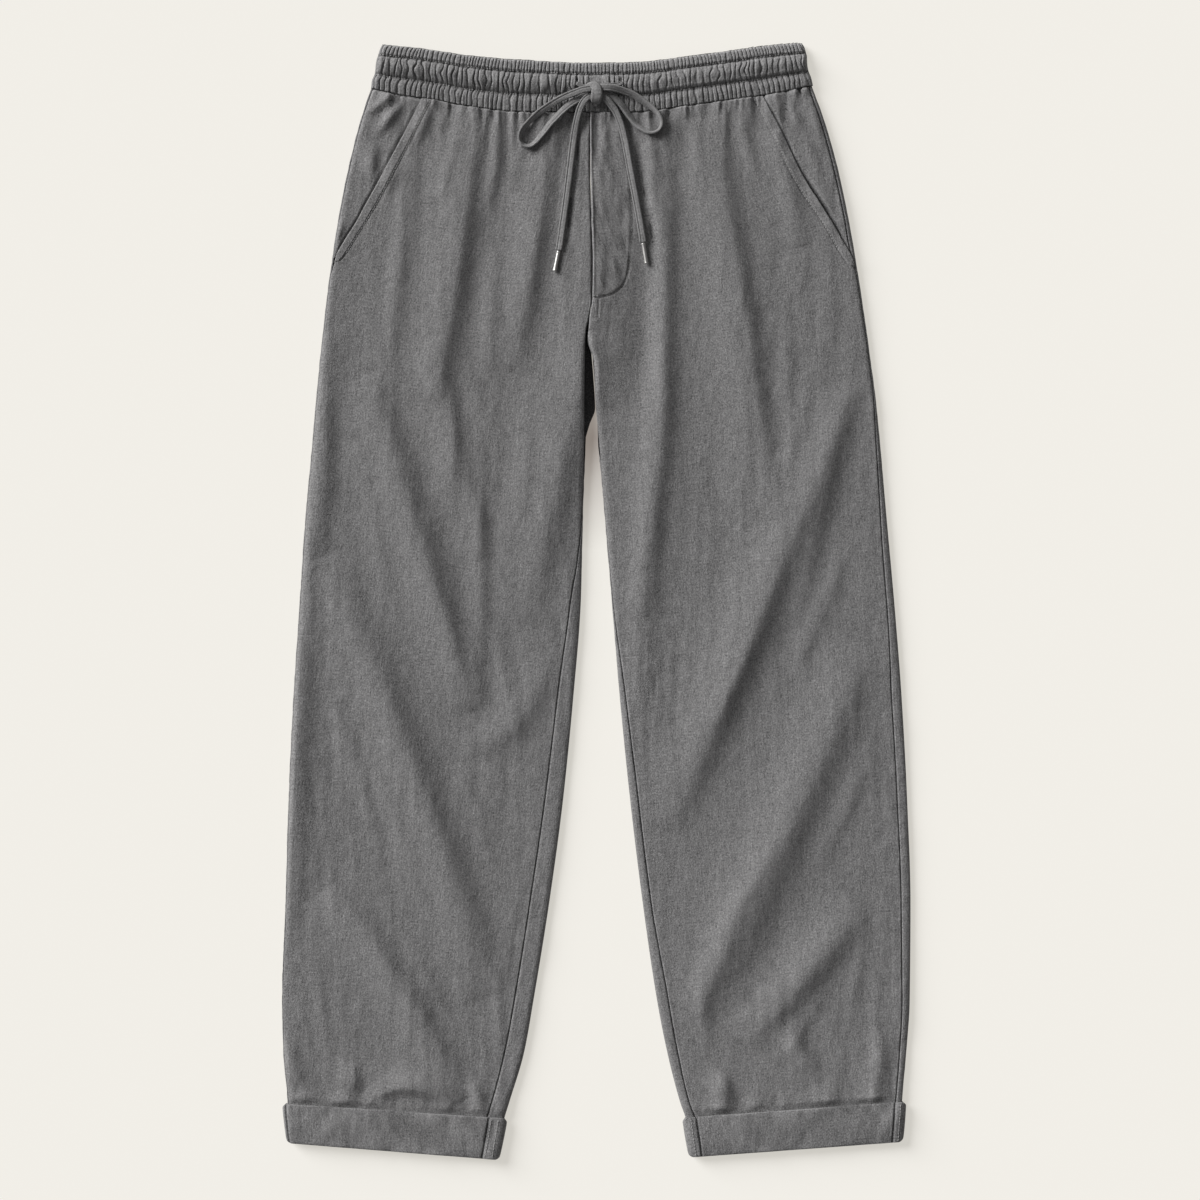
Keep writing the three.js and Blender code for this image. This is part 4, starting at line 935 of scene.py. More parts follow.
def cloth_material(name, dark, light, slub, grain, bump):
    """Washed plain-weave cloth: slubs down the piece, fainter ones across, mottling, grain, and wear with
    painted highlight and painted shade.
    """
    material, tree, shader = new_material(name, Roughness=0.93, Specular_IOR_Level=0.2, Sheen_Weight=0.12,
                                          Sheen_Roughness=0.5)
    uv = tree.nodes.new("ShaderNodeUVMap")
    uv.uv_map = "cloth"
    place = uv.outputs[0]
    slubs = noise_layer(tree, place, SLUBS, 3, 0.6)
    cross = noise_layer(tree, place, CROSS_SLUBS, 2)
    grains = noise_layer(tree, place, GRAIN, 3, 0.7)
    flecks = add_node(tree, "ShaderNodeMapRange", Value=noise_layer(tree, place, FLECKS, 1), From_Min=0.62,
                      From_Max=0.8, To_Min=0.5, To_Max=1.0)
    wear_and_shade = tree.nodes.new("ShaderNodeAttribute")
    wear_and_shade.attribute_name = "wear_and_shade"
    tone = weighted(tree, slubs, slub)
    tone = weighted(tree, cross, slub * CROSS_SHARE, tone)
    tone = weighted(tree, noise_layer(tree, place, MOTTLE, 4, 0.6), MOTTLE_TONE, tone)
    tone = weighted(tree, grains, grain, tone)
    tone = weighted(tree, flecks.outputs[0], FLECK_TONE, tone)
    # Wear with painted highlight on crests, and painted shade in creases and on inner sides, from the
    # pieces' attribute
    tone = weighted(tree, math_node(tree, "ADD", wear_and_shade.outputs["Fac"], 0.5), WEAR_AND_SHADE_TONE, tone)
    colour = colour_ramp(tree, math_node(tree, "ADD", tone, 0.5), dark, light)
    tree.links.new(colour, shader.inputs["Base Color"])
    relief = weighted(tree, slubs, 1.0)
    relief = weighted(tree, cross, 0.5, relief)
    relief = weighted(tree, grains, 0.9, relief)
    relief = weighted(tree, noise_layer(tree, place, WEAVE, 1), 0.6, relief)
    relief = weighted(tree, noise_layer(tree, place, CRUMPLE, 4, 0.6), 1.6, relief)
    bumps = add_node(tree, "ShaderNodeBump", Height=relief, Strength=1.0, Distance=bump)
    tree.links.new(bumps.outputs[0], shader.inputs["Normal"])
    return material


def steel_material():
    """Satin metal, drawn along its length."""
    material, tree, shader = new_material("satin_steel", Metallic=1.0)
    place = tree.nodes.new("ShaderNodeTexCoord").outputs["Object"]
    drawn = noise_layer(tree, place, (2600, 150), 3)
    colour = colour_ramp(tree, drawn, (0.36, 0.352, 0.34), (0.53, 0.52, 0.505))
    tree.links.new(colour, shader.inputs["Base Color"])
    rough = add_node(tree, "ShaderNodeMapRange", Value=drawn, To_Min=0.4, To_Max=0.58)
    tree.links.new(rough.outputs[0], shader.inputs["Roughness"])
    bumps = add_node(tree, "ShaderNodeBump", Height=drawn, Strength=0.3, Distance=0.0001)
    tree.links.new(bumps.outputs[0], shader.inputs["Normal"])
    return material


def floor_material():
    """A pale table that glows like a light table, with painted shade where its glow is darker between the
    legs.
    """
    material, tree, shader = new_material("floor", Base_Color=FLOOR_COLOUR, Emission_Strength=1.0,
                                          Roughness=0.95, Specular_IOR_Level=0.0)
    place = tree.nodes.new("ShaderNodeTexCoord").outputs["Object"]
    reach = PAINTED_SHADE_REACH * MM
    centred = add_node(tree, "ShaderNodeMapping", Vector=place, Scale=(1 / reach, 1 / reach, 1.0),
                       Location=(-PAINTED_SHADE_CENTRE[0] * MM / reach, -PAINTED_SHADE_CENTRE[1] * MM / reach, 0.0))
    near = add_node(tree, "ShaderNodeTexGradient", Vector=centred.outputs[0])
    near.gradient_type = "SPHERICAL"
    # Painted shade: the glow fades to a dark colour around the crotch
    glow_with_painted_shade = colour_ramp(tree, near.outputs["Fac"], FLOOR_GLOW, PAINTED_SHADE_GLOW)
    tree.links.new(glow_with_painted_shade, shader.inputs["Emission Color"])
    return material


CLOTH = cloth_material("washed_cloth", (0.05, 0.049, 0.049), (0.27, 0.265, 0.265), 0.5, 2.0, 0.0005)
CORD_CLOTH = cloth_material("cord_cloth", (0.08, 0.078, 0.078), (0.27, 0.266, 0.265), 0.6, 1.4, 0.0004)
THREAD = cloth_material("thread", (0.19, 0.187, 0.186), (0.38, 0.374, 0.37), 0.2, 0.4, 0.0001)
STEEL = steel_material()


# The stage

def make_stage():
    data = bpy.data.cameras.new("camera")
    data.lens = LENS
    data.sensor_width = SENSOR
    data.clip_end = 20
    camera = bpy.data.objects.new("camera", data)
    camera.location = (PICTURE_CENTRE[0] * MM, PICTURE_CENTRE[1] * MM, CAMERA_HEIGHT * MM)
    bpy.context.scene.collection.objects.link(camera)
    bpy.context.scene.camera = camera
    light = bpy.data.lights.new("sun", "SUN")
    light.energy = SUN_STRENGTH
    light.angle = math.radians(SUN_ANGLE)
    sun = bpy.data.objects.new("sun", light)
    elevation = math.radians(SUN_ELEVATION)
    flat = math.cos(elevation) / math.hypot(*SUN_TOWARDS)
    towards = Vector((SUN_TOWARDS[0] * flat, SUN_TOWARDS[1] * flat, -math.sin(elevation)))
    sun.rotation_euler = towards.to_track_quat("-Z", "Y").to_euler()
    bpy.context.scene.collection.objects.link(sun)
    world = bpy.data.worlds.new("world")
    world.use_nodes = True
    sky = world.node_tree.nodes["Background"]
    sky.inputs["Color"].default_value = (1, 1, 1, 1)
    sky.inputs["Strength"].default_value = SKY_STRENGTH
    bpy.context.scene.world = world
    bpy.context.scene.view_settings.view_transform = "Standard"
    mesh = bpy.data.meshes.new("floor")
    corners = [(FLOOR_REACH * i, FLOOR_REACH * j, 0) for i, j in ((-1, -1), (1, -1), (1, 1), (-1, 1))]
    mesh.from_pydata(corners, [], [(0, 1, 2, 3)])
    mesh.materials.append(floor_material())
    floor = bpy.data.objects.new("floor", mesh)
    floor.location.z = -FLOOR_DROP * MM
    bpy.context.scene.collection.objects.link(floor)


make_stage()


# The drawcord

def rest_height(x, y):
    """The height of whatever the cord lies on, over its width."""
    reach = CORD_WIDTH / 2
    at_x = x + reach * np.array([0, 1, -1, 0, 0, 0.7, -0.7, 0.7, -0.7])
    at_y = y + reach * np.array([0, 0, 0, 1, -1, 0.7, 0.7, -0.7, -0.7])
    seam, top = band_seam(at_x), band_top(at_x)
    level = np.clip((top - at_y) / (top - seam), 0, 1)
    leg = np.where(at_x > -8, right_leg_top(at_x, at_y), leg_top(at_x, at_y))
    return float(np.where(at_y < seam, leg, band_top_height(at_x, at_y, level)).max())


def as_seen(points, height):
    """Places read off the photograph, moved in to where a thing at this height must lie."""
    points = np.array(points, float)
    share = (height - SEEN_HEIGHT) / CAMERA_HEIGHT
    points[..., :2] -= (points[..., :2] - PICTURE_CENTRE) * share
    return points


def cord_points(route):
    route = as_seen(route, CORD_HEIGHT)
    drop = CORD_LIFT + CORD_THICKNESS / 2
    heights = [rest_height(x, y) + drop + lift * CORD_THICKNESS for x, y, lift in route]
    settled = []
    for i, height in enumerate(heights):
        before, after = heights[max(i - 1, 0)], heights[min(i + 1, len(heights) - 1)]
        settled.append(max(height, (before + height + after) / 3))
    return np.array([[x, y, z] for (x, y, _), z in zip(route, settled)])


def fine_curve(points, step):
    """Points at even steps along a Catmull-Rom curve."""
    points = np.asarray(points, float)
    ends = np.concatenate([[2 * points[0] - points[1]], points, [2 * points[-1] - points[-2]]])
    f = np.linspace(0, 1, 24, endpoint=False)[:, None]
    parts = []
    for i in range(1, len(ends) - 2):
        a, b, c, d = ends[i - 1:i + 3]
        parts.append(0.5 * (2 * b + (c - a) * f + (2 * a - 5 * b + 4 * c - d) * f**2
                            + (3 * b - a - 3 * c + d) * f**3))
    curve = np.concatenate([*parts, points[-1:]])
    lengths = lengths_along(curve)
    at = np.linspace(0, lengths[-1], max(int(lengths[-1] / step), 4) + 1)
    return along_line(curve, lengths, at), at


# The cord's cross section: squareness across and through, and its lengthwise groove and ridge
CORD_SQUARENESS = (0.75, 0.8)
CORD_SIDES = 40
CORD_STEP = 0.9
CORD_TAPER = 0.8
CORD_GROOVE = 0.7
KNOT_GROOVE = 0.3
GROOVE_AT = 0.45
RIDGE_AT = 0.7


def sweep_mesh(curve, widths, thicknesses, rolls, sides, groove):
    """Points, faces and cloth places of a flat cord along a curve, with rounded closed ends."""
    tangents = np.gradient(curve, axis=0)
    tangents /= np.linalg.norm(tangents, axis=1, keepdims=True)
    across = np.cross(tangents, (0, 0, 1))
    across /= np.linalg.norm(across, axis=1, keepdims=True)
    upwards = np.cross(across, tangents)
    roll = np.radians(rolls)[:, None]
    side = across * np.cos(roll) + upwards * np.sin(roll)
    up = upwards * np.cos(roll) - across * np.sin(roll)
    angle = ring_angles(sides)
    u, v = (np.sign(wave) * np.abs(wave) ** power
            for wave, power in zip((np.cos(angle), np.sin(angle)), CORD_SQUARENESS))
    dip = groove * (bell(u - GROOVE_AT, 0.16) - 0.4 * bell(u + RIDGE_AT, 0.25)) * (v > 0)
    points = (curve[:, None, :] + side[:, None, :] * (u[None, :, None] * widths[:, None, None] / 2)
              + up[:, None, :] * ((v * thicknesses[:, None] / 2 - dip)[:, :, None]))
    faces = capped_faces(len(curve), sides)
    lengths = lengths_along(curve)
    uv = np.stack(np.broadcast_arrays((angle * CORD_WIDTH / 2)[None, :], lengths[:, None]), axis=-1)
    points = points.reshape(-1, 3)
    return points, outwards_faces(points, faces), uv.reshape(-1, 2)


def end_taper(at, reach):
    """1 along a cord, falling to a small share at its two closed ends."""
    near = np.minimum(at, at[-1] - at)
    return np.sqrt(np.clip(near / reach, 0.08, 1))


def cord_piece(name, route, tilt, nodes, lead=0.0):
    """A length of cord along its route, a little uneven. Its lead is narrower."""
    curve, at = fine_curve(cord_points(route), CORD_STEP)
    rolls = np.interp(at / at[-1], tilt["share"], tilt["degrees"])
    full_width = CORD_WIDTH
    if lead:
        full_width = mix(LEAD_WIDTH, CORD_WIDTH, smooth_step(lead, lead + LEAD_BLEND, at))
    full = end_taper(at, CORD_TAPER)
    widths = full_width * (1 + 0.03 * noise(at / 9, 0 * at, 51)) * full
    thicknesses = (CORD_THICKNESS - 0.3) * (1 + 0.05 * noise(at / 6, 0 * at, 52)) * full
    mesh_points, faces, uv = sweep_mesh(curve, widths, thicknesses, rolls, CORD_SIDES, CORD_GROOVE)
    piece = make_mesh(name, mesh_points, faces, CORD_CLOTH, uv, 0 * uv[:, 0])
    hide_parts(*nodes)
    return piece, curve, at[-1]


cord_right, cord_right_curve, cord_right_length = cord_piece(
    "cord_lead_left_to_loop_right", LEAD_LEFT + THROUGH_KNOT_RIGHT + LOOP_RIGHT + [[1.5, 473.2, 0.4]],
    LOOP_RIGHT_TILT, ["drawcord_lead_left", "drawcord_loop_right"], LEAD_LENGTH)
cord_left, cord_left_curve, cord_left_length = cord_piece(
    "cord_lead_right_to_loop_left", LEAD_RIGHT + THROUGH_KNOT_LEFT + LOOP_LEFT + [[-1.5, 472.4, 0.4]],
    LOOP_LEFT_TILT, ["drawcord_lead_right", "drawcord_loop_left"], LEAD_LENGTH)
tail_left, tail_left_curve, tail_left_length = cord_piece(
    "cord_tail_left", [[-1.5, 470.2, 1.3]] + TAIL_LEFT, TAIL_LEFT_TILT, ["drawcord_tail_left"])
tail_right, tail_right_curve, tail_right_length = cord_piece(
    "cord_tail_right", [[1.2, 470.2, 1.3]] + TAIL_RIGHT, TAIL_RIGHT_TILT, ["drawcord_tail_right"])


def join_parts(parts):
    """Points, faces and cloth places of several meshes as one."""
    points, faces, uv, start = [], [], [], 0
    for part_points, part_faces, part_uv in parts:
        points.append(part_points)
        faces += [tuple(index + start for index in face) for face in part_faces]
        uv.append(part_uv)
        start += len(part_points)
    return np.concatenate(points), faces, np.concatenate(uv)


def make_knot():
    """The bow's knot: a wrap that curls over from the left and comes down over the strands."""
    base = rest_height(*KNOT) + CORD_LIFT - KNOT_SINKS
    wrap = np.stack([KNOT_WRAP["x"], KNOT_WRAP["y"], KNOT_WRAP["z"] + base], axis=1)
    points = as_seen(wrap, KNOT_HEIGHT)
    curve, at = fine_curve(points, KNOT_STEP)
    full = end_taper(at, KNOT_TAPER)
    widths = np.interp(np.linspace(0, 1, len(at)), np.linspace(0, 1, len(points)), KNOT_WRAP["width"])
    mesh_points, faces, uv = sweep_mesh(curve, widths * full, KNOT_THICKNESS * full, 0 * at, CORD_SIDES,
                                        KNOT_GROOVE)
    piece = make_mesh("cord_knot", mesh_points, faces, CORD_CLOTH, uv, 0 * uv[:, 0])
    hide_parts("drawcord_knot")
    return piece


knot = make_knot()


def make_aglet(name, route, end, node):
    """A slim metal tube with rolled rims and a crimp, in line with the end of its cord."""
    start = cord_points(route)[-1]
    end = as_seen([*end], CORD_HEIGHT)
    stop = np.array([*end, rest_height(*end) + CORD_LIFT + AGLET_RADIUS])
    along = (stop - start) / np.linalg.norm(stop - start)
    across = np.cross(along, (0, 0, 1))
    across /= np.linalg.norm(across)
    up = np.cross(across, along)
    angle = ring_angles(AGLET_SIDES)[:, None]
    rings = [start + along * (LAYER_GAP + at) + radius * (np.cos(angle) * across + np.sin(angle) * up)
             for at, radius in zip(*AGLET_PROFILE.values())]
    points = np.concatenate(rings)
    faces = capped_faces(len(rings), AGLET_SIDES)
    piece = make_mesh(name, points, outwards_faces(points, faces), STEEL)
    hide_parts(node)
    return piece


aglet_left = make_aglet("aglet_left_metal", TAIL_LEFT, AGLET_LEFT_END, "aglet_left")
aglet_right = make_aglet("aglet_right_metal", TAIL_RIGHT, AGLET_RIGHT_END, "aglet_right")


# The legs

def opening(pocket, seam):
    edge = smooth_column(pocket, "y", "edge")
    return lambda y: np.maximum(edge(y) * smooth_step(*POCKET_CLOSES, y), seam(y))


def band_edge(pocket):
    """The pocket's edge, carried straight on below it to where its stitches end."""
    edge = smooth_column(pocket, "y", "edge")
    last = edge(float(BAND_LINE_FROM))
    slope = (edge(BAND_LINE_FROM + 12.0) - last) / 12
    return lambda y: np.where(y > BAND_LINE_FROM, edge(y), last - slope * (BAND_LINE_FROM - y))


def back_side(rows, side, crotch, rolls_by):
    sign = 1 if side == "right" else -1
    flat_edge = smooth_column(crotch, "y", "edge")
    leg_edge = smooth_column(rows, "y", side)
    leg_seam = smooth_column(rows, "y", "inseam")
    flat_until = crotch["y"].min()

    def rolled(y):
        return smooth_step(0, 1, (y - flat_until) / (rolls_by - flat_until))

    return (lambda level, y: mix(flat_edge(y) + sign * ROLL, leg_edge(y), rolled(y)),
            lambda y: mix(-ROLL, leg_seam(y), rolled(y)))




def left_side(y):
    return LEFT_SIDE_SEAM + 0 * y


right_side = smooth_column(RIGHT_SIDE_SEAM, "y", "inset")
left_inseam, right_inseam = (smooth_column(rows, "y", "inseam") for rows in (LEFT_LEG, RIGHT_LEG))
left_opening, right_opening = opening(LEFT_POCKET, left_side), opening(RIGHT_POCKET, right_side)
left_band, right_band = band_edge(LEFT_POCKET), band_edge(RIGHT_POCKET)
left_tube = leg_tube(LEFT_LEG, LEFT_TURN_UP, leg_top,
                     crisp=lambda y: smooth_step(*CRISP_FROM, y) * (1 - smooth_step(*CRISP_UNTIL, y)))
right_tube = leg_tube(RIGHT_LEG, RIGHT_TURN_UP, right_leg_top)
left_back_edge, left_back_seam = back_side(LEFT_LEG, "right", LEFT_BACK_CROTCH, LEFT_BACK_ROLLS_BY)
right_back_edge, right_back_seam = back_side(RIGHT_LEG, "left", RIGHT_BACK_CROTCH, RIGHT_BACK_ROLLS_BY)
left_back_tube = leg_tube(LEFT_LEG, LEFT_TURN_UP, leg_top, right=left_back_edge)
right_back_tube = leg_tube(RIGHT_LEG, RIGHT_TURN_UP, right_leg_top, left=right_back_edge)

POCKET_BAND = 9.0
BAND_LIFT = 0.7
BAND_SINK = 0.8

# At POCKET_GAPES the right pocket's edge stands up and its facing sinks
POCKET_LIFT = 1.5
POCKET_DROP = 3.6

# The left front dips beside the fly, whose own edge is a ridge
FLY_SINK = 0.9
FLY_RIDGE = 0.8
FRONT_WIDTH = 270

# How far apart the rows of points lie, down from the waist, and the columns in from each edge
FRONT_ROWS = table("upto apart", [8, 0.7], [60, 1.3], [140, 2.0], [205, 1.0], [890, 3.0], [960, 1.3])
PLAIN_COLUMNS = table("upto apart", [13, 0.6], [1000, 2.2])
FLY_COLUMNS = table("upto apart", [40, 0.75], [1000, 2.2])


def uneven_steps(rows, length):
    """Shares from 0 to 1 of a length, stepped as the table says."""
    places, at = [], 0.0
    for upto, apart in zip(rows["upto"], rows["apart"]):
        end = min(upto, length)
        count = max(round((end - at) / apart), 1)
        places.append(np.linspace(at, end, count, endpoint=False))
        at = end
        if at >= length:
            break
    return np.append(np.concatenate(places), length) / length


def column_steps(left_rows, right_rows, width):
    """Shares of a width, closer together towards both edges."""
    left = uneven_steps(left_rows, width / 2) / 2
    right = uneven_steps(right_rows, width / 2) / 2
    return np.concatenate([left[:-1], 1 - right[::-1]])


# The roundness of the cloth at a seam, how much it puckers, and the roundness of its upper edge
SEAM_EDGE = 1.1
SEAM_PUCKER = 0.28
UPPER_EDGE = 1.2
LEG_LENGTH = 955


def seam_relief(distance, level, seed):
    """Cloth turns down into a seam and puckers beside it."""
    pucker = noise(level * LEG_LENGTH / 4.5, distance / 9, seed) * bell(distance, 7)
    return -rounded_edge(distance, SEAM_EDGE) + SEAM_PUCKER * pucker * (1 - bell(distance, 1.2))


def panel_shell(name, tube, level, path, offset, cloth, wear_and_shade_weight, node, uv_path=None):
    """A panel of a tube, from its outer side's levels, paths and offsets. Its inner side is coarser."""
    outer = tube.moved(level, path, offset)
    outer[..., 2] = np.maximum(outer[..., 2], 0)
    inner = tube.moved(coarse(level + 0 * path, 4), coarse(path, 4), coarse(offset, 4) - cloth)
    uv_path = path if uv_path is None else uv_path
    uv = np.stack(np.broadcast_arrays(uv_path, -level * tube.length), axis=-1)
    # Crests painted lighter as wear and painted highlight, creases painted darker as painted shade
    wear_and_shade = wear_and_shade_weight * height_wear_and_shade(outer, 6) if wear_and_shade_weight else 0 * path
    return cloth_shell(name, outer, inner, uv, wear_and_shade, CLOTH, [node])


def front_panel(name, tube, left_end, right_end, band, band_on_left, seed, node):
    """A front, from its left seam to its right one, with the stitched band along its pocket's edge."""
    level = uneven_steps(FRONT_ROWS, tube.length)[:, None]
    fly_rows = PLAIN_COLUMNS if band_on_left else FLY_COLUMNS
    left, right, half = tube.edges(level)
    left_y, right_y = tube.curve(level, left), tube.curve(level, right)
    start = path_at(left_end(left_y)) + SEAM_GAP / 2
    end = half - path_at(right_end(right_y)) - SEAM_GAP / 2
    path = mix(start, end, column_steps(fly_rows, PLAIN_COLUMNS, FRONT_WIDTH)[None, :])
    from_left, from_right = path - start, end - path
    offset = seam_relief(from_left, level, seed) + seam_relief(from_right, level, seed + 1)
    offset = offset - rounded_edge(level * tube.length, UPPER_EDGE)
    y = left_y if band_on_left else right_y
    along_fly = smooth_step(*FLY_EDGE_FROM, right_y if band_on_left else left_y)
    if band_on_left:
        from_opening = path - path_at(band(y))
        offset = offset - along_fly * FLY_SINK * bell(from_right, 1.3)
    else:
        from_opening = half - path_at(band(y)) - path
        offset = offset + along_fly * FLY_RIDGE * bell(from_left - 1.3, 1.0)
        opened = bell(y - POCKET_GAPES, 30)
        offset = offset + POCKET_LIFT * opened * bell(from_opening, 5)
    banded = smooth_step(BAND_LINE_ENDS - 2, BAND_LINE_ENDS + 2, y)
    inside_band = 1 - smooth_step(POCKET_BAND - 0.8, POCKET_BAND + 0.8, from_opening)
    stitch_line = bell(from_opening - POCKET_BAND, STITCH_SINK)
    offset = offset + banded * (BAND_LIFT * inside_band - BAND_SINK * stitch_line)
    centred = path - (start + end) / 2
    return panel_shell(name, tube, level, path, offset, LEG_CLOTH, FOLD_WEAR_AND_SHADE, node, centred)


front_left = front_panel("front_left_cloth", left_tube, left_opening, left_inseam, left_band, True, 41,
                         "front_left")
front_right = front_panel("front_right_cloth", right_tube, right_inseam, right_opening, right_band, False,
                          43, "front_right")

BACK_ROWS = 330
BACK_EDGE_COLUMNS = 26
BACK_MIDDLE_COLUMNS = 40
FACING_ROWS = 92
FACING_COLUMNS = 40


def back_panel(name, tube, left_end, right_end, seed, node):
    """The back wraps from its right seam, under the leg, to its left seam."""
    level = np.linspace(0, 1, BACK_ROWS)[:, None]
    left, right, half = tube.edges(level)
    start = half - path_at(right_end(tube.curve(level, right))) + SEAM_GAP / 2
    end = 2 * half + path_at(left_end(tube.curve(level, left))) - SEAM_GAP / 2
    first = np.maximum(half + ROLL_PATH, start + 0.6)
    last = np.minimum(2 * half - ROLL_PATH, end - 0.6)
    edge = np.linspace(0, 1, BACK_EDGE_COLUMNS, endpoint=False)[None, :]
    middle = np.linspace(0, 1, BACK_MIDDLE_COLUMNS)
    path = np.concatenate([mix(start, first, edge), mix(first, last, middle),
                           mix(last, end, edge + 1 / BACK_EDGE_COLUMNS)], axis=1)
    from_start, from_end = path - start, end - path
    top_side = 1 - smooth_step(0, ROLL_PATH, path - half)
    top_side = np.maximum(top_side, smooth_step(2 * half - ROLL_PATH, 2 * half, path))
    relief = seam_relief(from_start, level, seed) + seam_relief(from_end, level, seed + 1)
    centred = path - (start + end) / 2
    return panel_shell(name, tube, level, path, relief * top_side, LEG_CLOTH, 0, node, centred)


back_left = back_panel("back_left_cloth", left_back_tube, left_side, left_back_seam, 45, "back_left")
back_right = back_panel("back_right_cloth", right_back_tube, right_back_seam, right_side, 47, "back_right")


def pocket_facing(name, tube, on_left, pocket, side_seam, node):
    """The hip piece behind a pocket opening, level with the front by the side seam."""
    pocket_edge = smooth_column(pocket, "y", "edge")
    reach = (band_seam(float(PUCKER_SPAN[0 if on_left else 1])) - POCKET_BOTTOM) / tube.length
    level = np.linspace(0, reach, FACING_ROWS)[:, None]
    left, right, half = tube.edges(level)
    y = tube.curve(level, left if on_left else right)
    seam = path_at(side_seam(y)) + 1.5 * SEAM_GAP
    edge = path_at(pocket_edge(y))
    tuck = edge + POCKET_TUCK
    from_side = mix(seam, tuck, np.linspace(0, 1, FACING_COLUMNS)[None, :])
    drop = ((LEG_CLOTH + 0.3) * smooth_step(0, 1, (from_side - edge + 2.4) / 1.8)
            + POCKET_SLACK * smooth_step(0, 1, (from_side - edge + 1) / (tuck - edge + 1)))
    if not on_left:
        opened = bell(y - POCKET_GAPES, 26)
        drop = drop + POCKET_DROP * opened * smooth_step(0, 1, (from_side - edge + 6) / 6)
    offset = -drop + seam_relief(from_side - seam, level, 49) - rounded_edge(level * tube.length, UPPER_EDGE)
    path = from_side if on_left else half - from_side
    return panel_shell(name, tube, level, path, offset, FACING_CLOTH, FOLD_WEAR_AND_SHADE, node)


facing_left = pocket_facing("pocket_facing_left_cloth", left_tube, True, LEFT_POCKET, left_side,
                            "pocket_facing_left")
facing_right = pocket_facing("pocket_facing_right_cloth", right_tube, False, RIGHT_POCKET, right_side,
                             "pocket_facing_right")


# The waistband

BAND_ROWS = 58
BAND_COLUMNS = 960
BAND_INNER_ROWS = 5
BAND_INNER_COLUMNS = 60
BAND_BACK_ROWS = 24
BAND_BACK_COLUMNS = 180
BAND_END_COLUMNS = 10
BAND_END_SHARE = 0.02
BAND_TOP_EDGE = 1.8
BAND_SEAM_EDGE = 1.0
BAND_INSIDE_RISE = 0.4


def waistband_front():
    level = np.linspace(0, 1, BAND_ROWS)[:, None]
    _, _, half = band_tube.edges(level)
    path = mix(SEAM_GAP / 2, half - SEAM_GAP / 2, np.linspace(0, 1, BAND_COLUMNS)[None, :])
    offset = (-rounded_edge(level * BAND_DEPTH, BAND_TOP_EDGE)
              - rounded_edge((1 - level) * BAND_DEPTH, BAND_SEAM_EDGE))
    outer = band_tube.moved(level, path, offset + 0 * path)
    inner_level = np.linspace(0, 1, BAND_INNER_ROWS)[:, None]
    _, _, inner_half = band_tube.edges(inner_level)
    inner_share = np.linspace(0, 1, BAND_INNER_COLUMNS)[None, :]
    inner_path = mix(SEAM_GAP / 2, inner_half - SEAM_GAP / 2, inner_share)
    inner = band_tube.point(inner_level, inner_path)
    share = np.minimum(np.minimum(inner_path, inner_half - inner_path) / ROLL_PATH, 1)
    inner[..., 0] += BAND_CLOTH * (1 - share) * np.where(inner_path < inner_half / 2, 1, -1)
    inner[..., 2] = BAND_EDGE_HEIGHT + BAND_INSIDE_RISE * share
    uv = np.stack(np.broadcast_arrays(path, -level * BAND_DEPTH), axis=-1)
    on_ruffle = 1 - smooth_step(RUFFLE_ENDS - 0.03, RUFFLE_ENDS + 0.02, level)
    # On the ruffle the painted highlight on crests and the painted shade in creases are stronger, and the
    # ruffle is a little darker all over
    wear_and_shade = (0.8 + 1.6 * on_ruffle) * height_wear_and_shade(outer, 4) - 0.12 * on_ruffle
    return cloth_shell("waistband_front_cloth", outer, inner, uv, wear_and_shade, CLOTH, ["waistband_front"])


def waistband_back():
    level = np.linspace(0, 1, BAND_BACK_ROWS)[:, None]
    _, _, half = band_tube.edges(level)
    share = np.concatenate([np.linspace(0, BAND_END_SHARE, BAND_END_COLUMNS, endpoint=False),
                            np.linspace(BAND_END_SHARE, 1 - BAND_END_SHARE, BAND_BACK_COLUMNS),
                            np.linspace(1 - BAND_END_SHARE, 1, BAND_END_COLUMNS + 1)[1:]])
    path = mix(half + SEAM_GAP / 2, 2 * half - SEAM_GAP / 2, share[None, :])
    return panel_shell("waistband_back_cloth", band_tube, level, path, 0 * path, BAND_CLOTH, 0,
                       "waistband_back")


band_front = waistband_front()
band_back = waistband_back()


# The turn-ups

TURN_UP_DEPTH = 37
TURN_UP_WIDTH = 207
TURN_UP_CORNER = 3.2
TURN_UP_GROOVE = 1.4
TURN_UP_COLUMNS = table("upto apart", [20, 0.5], [1000, 1.9])


def rounded_profile(rows, rounds):
    """A closed outline with its corners cut off again and again."""
    points = np.stack([rows["level"] * TURN_UP_DEPTH, rows["offset"]], axis=1)
    for _ in range(rounds):
        after = np.roll(points, -1, axis=0)
        cut = [0.75 * points + 0.25 * after, 0.25 * points + 0.75 * after]
        points = np.stack(cut, axis=1).reshape(-1, 2)
    return points[:, 0] / TURN_UP_DEPTH, points[:, 1]


def turn_up_grooves(path, half, seams):
    return sum(bell(path - at, 0.9) for at in (path_at(seams[0]), half - path_at(seams[1])))


def turn_up_relief(path, level, half, seams, seed):
    """Soft mottled puffs over the turn-up, and its two seam grooves."""
    top_side = smooth_step(0, 10, path) * (1 - smooth_step(half - 10, half, path))
    down = level * TURN_UP_DEPTH
    fine = 0.42 * noise(path / 7, down / 8, seed) + 0.24 * noise(path / 3.6, down / 6, seed + 1)
    soft = 1.25 * noise(path / 24, down / 20, seed + 2) + 0.8 * noise(path / 12, down / 14, seed + 3)
    return np.maximum(top_side * (fine + soft), -1.2) - TURN_UP_GROOVE * turn_up_grooves(path, half, seams)


